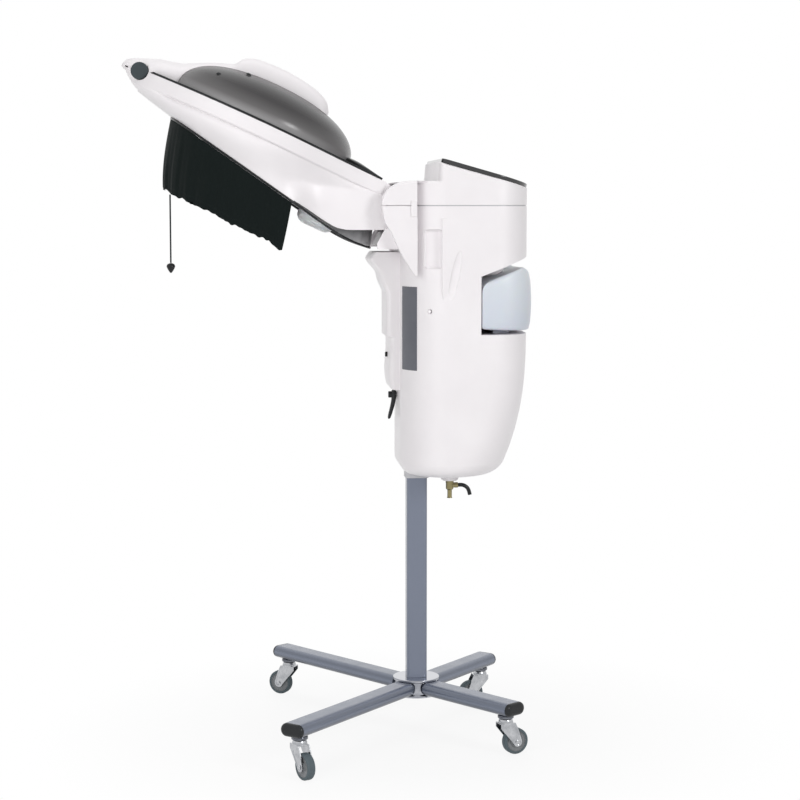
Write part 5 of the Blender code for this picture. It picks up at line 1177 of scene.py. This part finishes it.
def make_drain():
    """The drain tap, finer than the solids it stands for."""
    top = HEAD_BOTTOM - SEAT
    low = top - 0.019
    at = moved(DRAIN_X, DRAIN_Y, 0)
    boss = [(0.0063, top), (0.019, top), (0.017, low + 0.003), (0.014, low), (0.0063, low)]
    collar = turned(rounded(boss, 0.0012), 56, bored=True)
    piece("drain_collar", collar, "head", "white_plastic", ("drain_boss",), at)
    body_top, spout, inside = low - SEAT, HEAD_BOTTOM - DRAIN_DROP, HEAD_BOTTOM + SKIN
    valve_z = body_top - 0.009
    shaft = [(0, inside), (0.006, inside), (0.006, body_top), (0.0075, body_top)]
    shaft += [(0.0075, valve_z - 0.007), (0.0045, valve_z - 0.010)]
    shaft += [(0.0045, spout + 0.002), (0.0055, spout), (0, spout)]
    valve = turned(rounded(shaft, 0.0008), 40)
    nut = [(0.008 * cos(radians(60 * n)), 0.008 * sin(radians(60 * n))) for n in range(6)]
    ring = bevelled(prism(nut, body_top - 0.0045, body_top), 0.0004)
    barrel = rod(0.0052, (0, 0, valve_z), (0.016, 0, valve_z), 28)
    boss_ring = bevelled(rod(0.0055, (0.0105, 0, valve_z), (0.016, 0, valve_z), 6), 0.0003)
    piece("drain_tap", merged(valve, ring, barrel, boss_ring), "head", "brass", ("drain_valve",), at)
    path = [(-0.0037, 0, 0), (0.004, 0, 0), (0.010, 0, -0.002)]
    path += [(0.015, 0, -0.006), (0.018, 0, -0.012), (0.020, 0, -0.0195)]
    lever = tube(smooth_rows(path, 6), 0.0039, 7)
    handle = moved(DRAIN_X + 0.020, DRAIN_Y, valve_z)
    piece("drain_handle_grip", lever, "drain_handle", "black_plastic", ("drain_lever",), handle)


def make_clamp():
    angles = [2 * pi * number / 28 for number in range(28)]
    bend = [(squashed(cos(a), 0.8), squashed(sin(a), 0.8)) for a in angles]
    rings = []
    for z, lean, thick, wide in smooth_rows(CLAMP_ROWS, 4):
        rings.append([(HEAD_FRONT - 0.0062 + lean + thick * x, wide * y, CLAMP_Z + z) for x, y in bend])
    profile = [(0, 0), (0.0058, 0), (0.0064, -0.0012), (0.0064, -0.0160), (0, -0.0160)]
    hub = turned(rounded(profile, 0.0008), 32)
    hub.transform(moved(HEAD_FRONT - 0.0172, 0, CLAMP_Z) @ spun(-90, "Y"))
    piece("clamp_handle", merged(loft(rings), hub), "clamp", "black_plastic", ("clamp_lever",))


def make_side_trim():
    """The screw caps and the plates on the cheeks."""
    profile = [(0, 0.0016), (0.0022, 0.0014), (0.0036, 0.0006)]
    profile += [(0.0041, -0.0006), (0.0041, -0.0015), (0, -0.0015)]
    cheek =[(-0.0700, 0.9970), (-0.0860, 0.9690), (-0.0850, 0.9580), (-0.0360, 0.9580), (-0.0500, 0.9970)]
    for name, side in SIDES:
        spot = moved(RECESS_X, side * (side_y(RECESS_X) - 0.0012), RECESS_Z) @ spun(-90 * side, "X")
        piece("screw_cap_" + name, turned(profile, 32), "head", "white_plastic", (), spot)
        plate = bevelled(plate_in_y(cheek, side * 0.1130, side * 0.1213), 0.0012, 3, 60.0)
        piece("cheek_" + name, plate, "head", "white_plastic")


def make_plate():
    """A plain dark plate on the near front corner, with nothing on it."""
    rings = []
    low, high, lip, thickness = 0.7280, 0.8870, 0.0006, 0.0006
    start, end, radius = 180 - 16.5, 180 - 45.8, FRONT_CORNER + 0.0001
    centre = (HEAD_FRONT + FRONT_CORNER, HALF_WIDTH - FRONT_CORNER)
    for z, lift in ((low, 0.0), (low + lip, thickness), (high - lip, thickness), (high, 0.0)):
        ring = arc(centre, radius + lift, start, end, 24) + arc(centre, radius - 0.0008, end, start, 24)
        rings.append([(p.x, -p.y, z) for p in ring])
    piece("corner_plate", loft(rings), "head", None, (), finish="dark_plate")


# Hood


def tray_half_width(x):
    if x <= TRAY_WIDEST:
        reach = (TRAY_WIDEST - x) / (TRAY_WIDEST - TRAY_NOSE)
        return TRAY_HALF * max(0.0, 1 - reach**1.8) ** 0.75
    share = (x - TRAY_WIDEST) / (TRAY_REAR - TRAY_WIDEST)
    return BAND_HALF + (TRAY_HALF - BAND_HALF) * (0.5 + 0.5 * cos(pi * share))


def rim_height(x):
    heel = max(0.0, (x - HEEL_START) / (RIM_REAR - HEEL_START))
    return RIM_FRONT_Z + RIM_SLOPE * (x - RIM_FRONT) + HEEL_RISE * heel**2


def rim_points(steps):
    """Half the opening's edge, from its front to its rear."""
    points = []
    for step in range(steps + 1):
        turn = pi * step / steps
        reach = RIM_WIDEST - RIM_FRONT if turn < pi / 2 else RIM_REAR - RIM_WIDEST
        x = RIM_WIDEST - reach * squashed(cos(turn), 2 / RIM_POWER)
        points.append(Vector((x, RIM_HALF * abs(sin(turn)) ** (2 / RIM_POWER), rim_height(x))))
    return points


def tray_point(step, steps, inset=0.0):
    rear_steps = steps * 4 // 22
    along = steps - rear_steps
    if step > along:
        return Vector((TRAY_REAR, (BAND_HALF - inset) * (steps - step) / rear_steps))
    middle, half = (TRAY_NOSE + TRAY_REAR) / 2, (TRAY_REAR - TRAY_NOSE) / 2
    x = middle - half * cos(pi * step / along)
    width = tray_half_width(x) if step else 0.0
    proud = 0.0016 * (1 - ease((x - BAND_START) / 0.004))
    drawn = min(inset * ease((x - BAND_START) / 0.05), 0.4 * width)
    return Vector((x, width + min(proud, 0.1 * width) - drawn))


def neck_in(point, share):
    """Draws the rear of the bowl in to the neck's width, by a facet that slopes in under the band."""
    start = SEAM_Z - BAND_DEPTH - 0.003
    crease = min(start - 0.002, CREASE_Z + CREASE_SLOPE * (point.x - CREASE_X))
    depth = clamped((start - point.z) / (start - crease))
    high = ease((point.x - FACET_HIGH_START) / FACET_HIGH_RUN)
    low = ease((point.x - FACET_LOW_START) / FACET_LOW_RUN)
    weight = depth * (high + (low - high) * share**2)
    return Vector((point.x, point.y + (min(point.y, NECK_HALF + 0.0005) - point.y) * weight, point.z))


def whole_ring(half):
    return [Vector((p.x, -p.y, p.z)) for p in half] + [p.copy() for p in half[-2:0:-1]]


def tray_mesh(steps=88):
    outer = [tray_point(step, steps) for step in range(steps + 1)]
    ledge = [tray_point(step, steps, BAND_LEDGE) for step in range(steps + 1)]
    rim = rim_points(steps)
    low = SEAM_Z - BAND_DEPTH
    edge = low + 0.0012
    rings = [[Vector((p.x, p.y, z)) for p in outer] for z in (SEAM_Z, SEAM_Z - 0.008, SEAM_Z - 0.016, edge)]
    for share in (0.15, 0.5, 0.85, 1.0):
        z = edge - 0.0042 * share**0.7
        rings.append([Vector((*out.lerp(inn, share**1.5), z)) for out, inn in zip(outer, ledge)])
    for number in range(1, 31):
        share = number / 30
        swell = 0.0102 * sin(pi * share**0.9)
        row = []
        for above, below in zip(ledge, rim):
            point = Vector((above.x, above.y, low - 0.003)).lerp(below, share)
            side = swell * min(1.0, point.y / 0.05)
            ahead = swell * clamped((RIM_FRONT + 0.10 - point.x) / 0.10)
            row.append(neck_in(point + Vector((-ahead, side, 0)), share))
        rings.append(row)
    return loft([whole_ring(ring) for ring in rings], cap_start=False, cap_end=False)


def neck_mesh():
    inner, room, start = BARREL_RADIUS - BARREL_WALL, NECK_HALF - NECK_PLATE, NECK_START - 0.02
    neck = [(NECK_START, BARREL_RADIUS), *arc((0, 0), BARREL_RADIUS, 90, -110, 40), (-0.020, -0.0385)]
    neck += [NECK_LOW, (NECK_START, NECK_LOW[1] + 0.003)]
    hollow = [(start, inner), *arc((0, 0), inner, 90, -120, 32), (-0.045, -0.15), (start, -0.15)]
    return carved(plate_in_y(neck, -NECK_HALF, NECK_HALF), cut(plate_in_y(hollow, -room, room)))


def make_tray():
    drop, back, ahead = tan(radians(36.0)), HINGE_X + 0.013, TRAY_NOSE - 0.02
    over, under = SEAM_Z + 0.01, HINGE_Z - 0.012
    wedge = [
        (back, over),
        (back, under),
        (HINGE_X - 0.004, HINGE_Z - 0.0125),
        (ahead, under + (ahead - HINGE_X) * drop),
        (ahead, over),
    ]
    seam = SEAM_Z - 0.0005
    lug = arc((HINGE_X, HINGE_Z), LUG_RADIUS, 90, 250, 24)
    lug += [(HINGE_X + 0.030, SEAM_Z - 0.026), (HINGE_X + 0.030, seam), (HINGE_X + 0.012, seam)]
    below = smooth_rows(HEEL_LINE, 6) + [(-0.022, -0.15), (HEEL_LINE[0][0], -0.15)]
    steps = [add(neck_mesh()), cut(rod(0.0065, (0, -0.12, 0), (0, 0.12, 0)))]
    steps += [cut(plate_in_y(wedge, -0.09, 0.09)), cut(hinge_rod(JAW_BORE, -LUG_INNER, LUG_INNER, 72))]
    steps += [add(plate_in_y(lug, side * LUG_INNER, side * LUG_OUTER)) for side in (-1, 1)]
    steps.append(cut(hinge_rod(0.0043, -0.08, 0.08)))
    for side in (-1, 1):
        steps.append(cut(hinge_rod(KNOB_RADIUS + 0.001, side * (LUG_OUTER + SEAT / 2), side * 0.09, 56)))
    steps.append(cut(plate_in_y(below, -0.2, 0.2)))
    bowl = carved(tray_mesh(), *steps, wall=TRAY_SKIN, even=False)
    piece("hood_bowl", bowl, "hood", "white_plastic", ("hood_tray",), HOOD)
    guard_line = [Vector(p) - Vector((0, 0.0003)) for p in below]
    guard = carved(tray_mesh(), within(plate_in_y(guard_line, -0.2, 0.2)), wall=0.0018, even=False)
    piece("heel_guard", guard, "hood", None, (), HOOD, finish="smoke_skirt")
    drop = Vector((0, 0, BEAD_RADIUS + SEAT))
    bead = tube(whole_ring([neck_in(p, 1.0) - drop for p in rim_points(72)]), BEAD_RADIUS, 3, cyclic=True)
    piece("rim_bead", bead, "hood", "black_plastic", ("rim_seal",), HOOD)


def make_outlet():
    low, top, floor = OUTLET_Z, OUTLET_Z + 0.022, OUTLET_Z + 0.002
    outer, inner = OUTLET_RADIUS, OUTLET_RADIUS - 0.002
    outside = [(outer, top), (outer - 0.003, low + 0.008), (outer - 0.014, low), (0, low)]
    inside = [(0, floor), (inner - 0.013, floor), (inner - 0.003, low + 0.009), (inner, top)]
    dish = turned(rounded(outside, 0.006) + rounded(inside, 0.006), 72, bored=True)
    place = HOOD @ moved(OUTLET_X, 0, 0)
    piece("steam_dish", dish, "hood", "frosted_clear", ("outlet_dish",), place, finish="clear_dish")


def dome_rings(grow, foot):
    rings, sides, crown, power = 30, 112, radians(88.5), 2.4
    heights = [(DOME_RADIUS + grow, DOME_BASE - foot)]
    for number in range(rings):
        turn = crown * number / (rings - 1)
        radius = (DOME_RADIUS + grow) * cos(turn) ** (2 / power)
        heights.append((radius, DOME_BASE + DOME_FOOT + (DOME_HEIGHT - DOME_FOOT + grow) * sin(turn)))
    angles = [2 * pi * side / sides for side in range(sides)]
    return [[(DOME_X + r * cos(a), r * sin(a), z) for a in angles] for r, z in heights]


def dome_clearance():
    return cut(loft(dome_rings(SEAT, 0.010)))


def spine_rows():
    """X, half width, underside and top of the white nose and spine."""
    under, above, wide = SEAM_Z + SEAT, DOME_BASE, 0.052
    nose = (
        (-0.603, 0.012, under - 0.009, 0.043),
        (-0.598, 0.021, under - 0.010, 0.051),
        (-0.585, 0.032, under - 0.004, 0.059),
        (-0.563, 0.044, under, 0.068),
        (-0.548, 0.053, under, 0.0745),
    )
    back = (
        (-0.542, 0.056, above, 0.077),
        (-0.505, 0.062, above, 0.086),
        (-0.490, 0.060, above, 0.092),
        (-0.470, 0.056, above, 0.102),
        (-0.440, wide, above, 0.116),
        (-0.411, wide, above, 0.128),
        (-0.397, wide, above, 0.145),
        (-0.368, wide, above, 0.155),
        (-0.305, wide, above, 0.157),
        (-0.253, wide, above, 0.150),
        (-0.224, wide, above, 0.138),
        (-0.211, wide - 0.004, above, 0.121),
    )
    return smooth_rows(nose, 5) + smooth_rows(back, 5)


def half_ring(x, half, base, height, power, steps):
    """Half a superellipse across the hood, standing on its base, or hanging from it."""
    turns = [pi * step / steps for step in range(steps + 1)]
    return [(x, half * squashed(cos(t), power), base + height * abs(sin(t)) ** power) for t in turns]


def spine_ring(x, half, low, top):
    power = 2.4 + 2.1 * clamped((x + 0.50) / 0.04)
    return half_ring(x, half, low, top - low, 2 / power, 40)


def beak_ring(x, half, low):
    """The rounded underside of the nose, which turns inside the tray's jaw."""
    top = SEAM_Z + 0.0015
    return half_ring(x, half, top, -(top - low), 0.7, 24)


def make_cover():
    hinge_top = SEAM_Z + 0.012
    ear = arc((HINGE_X, HINGE_Z), 0.010, 180, 360, 24)
    ear += [(HINGE_X + 0.010, hinge_top), (HINGE_X - 0.010, hinge_top)]
    steps = [dome_clearance(), add(loft([beak_ring(*row) for row in smooth_rows(BEAK, 4)]))]
    for side in (-1, 1):
        near, deep = sorted((side * 0.0045, side * 0.05))
        steps.append(cut(block((-0.5965, near, 0.0352), (-0.5895, deep, 0.0378), 0.0010)))
    steps += [add(plate_in_y(ear, side * 0.022, side * 0.034)) for side in (-1, 1)]
    steps.append(cut(hinge_rod(0.0045, -0.08, 0.08)))
    for side in (-1, 1):
        inner, seat, end = side * (LUG_INNER - RUN), side * (LUG_OUTER - RUN), side * 0.09
        steps.append(cut(hinge_rod(LUG_RADIUS + 0.0012, inner, end, 56)))
        steps.append(cut(hinge_rod(KNOB_RADIUS + 0.001, seat, end, 56)))
    shell = carved(loft([spine_ring(*row) for row in spine_rows()]), *steps)
    piece("cover_spine", shell, "cover", "white_plastic", ("cover_shell",), HOOD)


def make_dome():
    dome = carved(loft(dome_rings(0.0, 0.0), cap_start=False), wall=DOME_SKIN)
    piece("dome", dome, "cover", "smoke_dome", ("dome_window",), HOOD)
    run, top = TRAY_REAR - 0.010 - FLANGE_FRONT, FLANGE_Z + FLANGE
    places = [FLANGE_FRONT + run * step / 96 for step in range(97)]
    outline = with_mirror([Vector((x, tray_half_width(x) - 0.001)) for x in places])
    hole = arc((DOME_X, 0), DOME_RADIUS - 0.008, 0, 357, 119)
    flange = bevelled(prism(outline, FLANGE_Z, top, hole), 0.0009, 2, 60.0)
    piece("dome_flange", flange, "cover", "black_plastic", ("cover_flange",), HOOD)
    rings = [half_ring(x, half, top, rise, 0.5, 40) for x, half, rise in smooth_rows(TAIL, 5)]
    tail = carved(loft(rings), dome_clearance())
    piece("dome_tail", tail, "cover", None, (), HOOD, finish="black_plastic")
    profile = [(0, 0.0026), (0.0026, 0.0023), (0.0048, 0.0010), (0.0056, -0.0008), (0, -0.0008)]
    for number, spot in enumerate(STUDS):
        for name, side in SIDES:
            at, out = (Vector((x, -side * y, z)) for x, y, z in spot)
            stud, place = turned(profile, 32), HOOD @ aimed(at, out)
            piece("dome_stud_%s_%d" % (name, number), stud, "cover", None, (), place, finish="black_plastic")


def make_knobs():
    depth, bore = KNOB_DEPTH * 0.6, 0.0043
    rim = [(0, KNOB_DEPTH), (0.0152, KNOB_DEPTH), (0.0164, KNOB_DEPTH - 0.0014), (0.0164, SEAT)]
    pin_end = -2 * LUG_OUTER - depth
    profiles = {
        "left": [*rim, (HINGE_PIN, SEAT), (HINGE_PIN, pin_end), (0, pin_end)],
        "right": [*rim, (bore, SEAT), (bore, depth + SEAT), (0, depth + SEAT)],
    }
    grip = []
    for number in range(144):
        angle = 2 * pi * number / 144
        radius = KNOB_RADIUS - 0.0004 * (1 + cos(24 * angle))
        grip.append((radius * cos(angle), radius * sin(angle)))
    inside = [(0.015 * p.x, 0.015 * p.y) for p in arc((0, 0), 1.0, 0, 352, 44)]
    for name, side in SIDES:
        ring = prism(grip, SEAT + 0.0004, KNOB_DEPTH - 0.0024, inside)
        mesh = merged(turned(rounded(profiles[name], 0.0008), 64), ring)
        place = HOOD @ (moved(HINGE_X, side * LUG_OUTER, HINGE_Z) @ spun(-90 * side, "X"))
        piece("cover_knob_" + name, mesh, "hood", "knob_dark_grey", ("hinge_knob_" + name,), place)


# Curtain and drawstring


def curtain_path(count):
    """Places along the opening's edge, each with its outward direction and its share of the way."""
    run = [p for p in rim_points(200) if p.x <= CURTAIN_REAR]
    line = [Vector((p.x, -p.y, p.z)) for p in reversed(run)] + [p.copy() for p in run[1:]]
    lengths = [0.0]
    for first, second in zip(line, line[1:]):
        lengths.append(lengths[-1] + (second - first).length)
    path, place = [], 0
    for number in range(count + 1):
        target = lengths[-1] * number / count
        while place < len(line) - 2 and lengths[place + 1] < target:
            place += 1
        share = (target - lengths[place]) / (lengths[place + 1] - lengths[place])
        along = (line[place + 1] - line[place]).normalized()
        out = Vector((-along.y, along.x, 0)).normalized()
        path.append((line[place].lerp(line[place + 1], share), out, number / count))
    return path


def curtain_drop(x):
    return FRONT_DROP + (REAR_DROP - FRONT_DROP) * (x - RIM_FRONT) / (CURTAIN_REAR - RIM_FRONT)


def uneven(share, pitch, row, fall=0.0):
    return noise.noise(Vector((share * pitch, row, fall)))


def curtain_point(base, outward, share, fall, worn=True):
    """A point of the cloth; worn adds the uneven folds and hem that the plain solid doesn't have."""
    lean = HOOD_TILT - CURTAIN_LEAN
    down = Vector((sin(lean), 0, -cos(lean)))
    top = base + Vector((0, 0, -2 * (BEAD_RADIUS + SEAT)))
    phase, depth, hem, ripple = 0.0, 1.0, 0.0, 0.0
    if worn:
        phase = 0.35 * uneven(share, 9.0, 3.1)
        depth = 0.36 + 0.30 * uneven(share, 13.0, 7.7, fall)
        hem = 0.006 * uneven(share, 23.0, 1.3) + 0.004 * uneven(share, 61.0, 4.9) - 0.002
        ripple = 0.0004 * sin(2 * pi * 2.7 * FOLDS * share) * fall**0.5
    wave = sin(2 * pi * (FOLDS * share + phase)) * FOLD_DEPTH * depth * fall**1.2 + ripple
    drop = curtain_drop(base.x) + hem * fall
    return top + down * drop * fall + outward * (wave - DRAW * fall**3)


def make_curtain():
    columns, rows, fullness = 22 * FOLDS, 40, 1.2
    path = curtain_path(columns)
    work = bmesh.new()
    flat = work.loops.layers.uv.new("cloth")
    grid = [[work.verts.new(curtain_point(*point, row / rows)) for point in path] for row in range(rows + 1)]
    width = sum((path[n + 1][0] - path[n][0]).length for n in range(columns))
    for row in range(rows):
        for column in range(columns):
            corners = ((row, column), (row, column + 1), (row + 1, column + 1), (row + 1, column))
            face = work.faces.new([grid[r][c] for r, c in corners])
            for loop, (r, c) in zip(face.loops, corners):
                drop = curtain_drop(path[c][0].x)
                loop[flat].uv = (width * c / columns * fullness, drop * (1 - r / rows))
    area = sum(face.calc_area() for face in work.faces)
    obj = piece("curtain_cloth", to_mesh(work), "hood", "black_cloth", ("curtain",), HOOD, sharp=180.0)
    thick = obj.modifiers.new("cloth", "SOLIDIFY")
    thick.thickness = 0.0008
    thick.offset = 0.0
    obj.modifiers.move(1, 0)


def make_drawstring():
    anchor = next(point for point in curtain_path(5 * FOLDS) if point[0].x < RIM_FRONT + 0.026)
    hem = curtain_point(*anchor, 1.0, worn=False)
    down = Vector((sin(HOOD_TILT), 0, -cos(HOOD_TILT)))
    start = hem + down * 0.00105
    end = start + down * STRING_LENGTH
    profile = [(0, 0), (0.0030, -0.0004), (0.0068, -0.0022), (TOGGLE_RADIUS, -0.0064)]
    profile += [(0.0060, -0.0120), (0.0022, -0.0178), (0, -TOGGLE_LENGTH)]
    bead = HOOD @ Matrix.Translation(end + down * SEAT) @ Matrix.Rotation(-HOOD_TILT, 4, "Y")
    mesh = turned(rounded(profile, 0.0016, 6), 48)
    toggle = piece("string_toggle", mesh, "hood", "black_plastic", ("drawstring_toggle",), bead)
    count = 24
    points = [HOOD @ start.lerp(end, number / count) for number in range(count + 1)]
    data = round_curve("string", points, STRING_RADIUS, 4)
    data.materials.append(FINISHES["cord_braid"])
    string = shown("string", data)
    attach(string, "hood")
    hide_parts("drawstring")


# Studio


def seen_rays(made):
    """1 for the rays that show the background: camera, glossy and transmission rays."""
    ray = made.node("ShaderNodeLightPath").outputs
    first = made.math("MAXIMUM", ray["Is Camera Ray"], ray["Is Glossy Ray"])
    return made.math("MAXIMUM", first, ray["Is Transmission Ray"])


def make_floor():
    """A pale floor that keeps the shadow near the object and fades to plain white further out."""
    work = bmesh.new()
    bmesh.ops.create_grid(work, x_segments=1, y_segments=1, size=30.0)
    mesh = to_mesh(work)
    floor = shown("floor", mesh)
    made = Finish("floor", Base_Color=(0.82, 0.82, 0.82), Roughness=0.9, Specular_IOR_Level=0.0)
    white = made.node("ShaderNodeEmission", Color=(1.0, 1.0, 1.0))
    far = made.node("ShaderNodeVectorMath", operation="LENGTH")
    made.put(far.inputs[0], made.place)
    span = {"From_Min": 0.30, "From_Max": 0.75, "To_Min": 0.88}
    fade = made.node("ShaderNodeMapRange", Value=far.outputs["Value"], **span)
    both = made.math("MULTIPLY", fade.outputs["Result"], seen_rays(made))
    output = made.tree.nodes["Material Output"]
    made.mix(both, made.shader.outputs["BSDF"], white.outputs["Emission"], output)
    mesh.materials.append(made.material)


def make_world(ambient):
    world = bpy.data.worlds.new("studio")
    scene.world = world
    world.use_nodes = True
    world.node_tree.nodes.clear()
    made = Nodes(world.node_tree)
    soft, white = (
        made.node("ShaderNodeBackground", Color=(1.0, 1.0, 1.0), Strength=strength).outputs["Background"]
        for strength in (ambient, 1.0)
    )
    made.mix(seen_rays(made), soft, white, made.node("ShaderNodeOutputWorld"))


def make_light(name, place, aim, size, power, mirrored=True):
    data = bpy.data.lights.new(name, "AREA")
    data.shape = "DISK"
    data.size = size
    data.energy = power
    lamp = shown(name, data)
    lamp.location = place
    lamp.rotation_euler = (Vector(aim) - Vector(place)).to_track_quat("-Z", "Y").to_euler()
    lamp.visible_glossy = mirrored


def make_studio():
    make_floor()
    make_world(0.30)
    middle = (-0.1, 0.0, 1.05)
    make_light("key", (2.2, -2.9, 2.0), middle, 1.05, 43.0)
    make_light("fill", (-2.4, -2.6, 2.1), middle, 2.2, 36.0, False)
    make_light("top", (0.1, 0.2, 3.6), middle, 2.4, 29.0, False)
    make_light("low", (-1.6, -3.0, 0.7), (-0.40, -0.1, 1.10), 1.6, 20.0, False)
    make_light("back", (-0.2, 3.4, 1.9), middle, 2.2, 40.0, False)


def dress_nodes():
    """Gives every CAD node that still shows a finish of its own kind."""
    for node in frame["nodes"].values():
        if node.hide_render:
            continue
        given = node.data.materials[0].name.split(".")[0] if node.data.materials else ""
        node.data.materials.clear()
        node.data.materials.append(FINISHES.get(given, FINISHES["white_plastic"]))


FINISHES = make_finishes()
make_camera()
make_drawstring()
make_curtain()
make_hub_and_column()
make_legs()
for name, side in SIDES:
    make_housing(name, side)
make_top_cover()
make_tongue()
make_panel()
make_front_cover()
make_bay()
make_tank()
make_drain()
make_clamp()
make_side_trim()
make_plate()
make_tray()
make_outlet()
make_cover()
make_dome()
make_knobs()
dress_nodes()
make_studio()
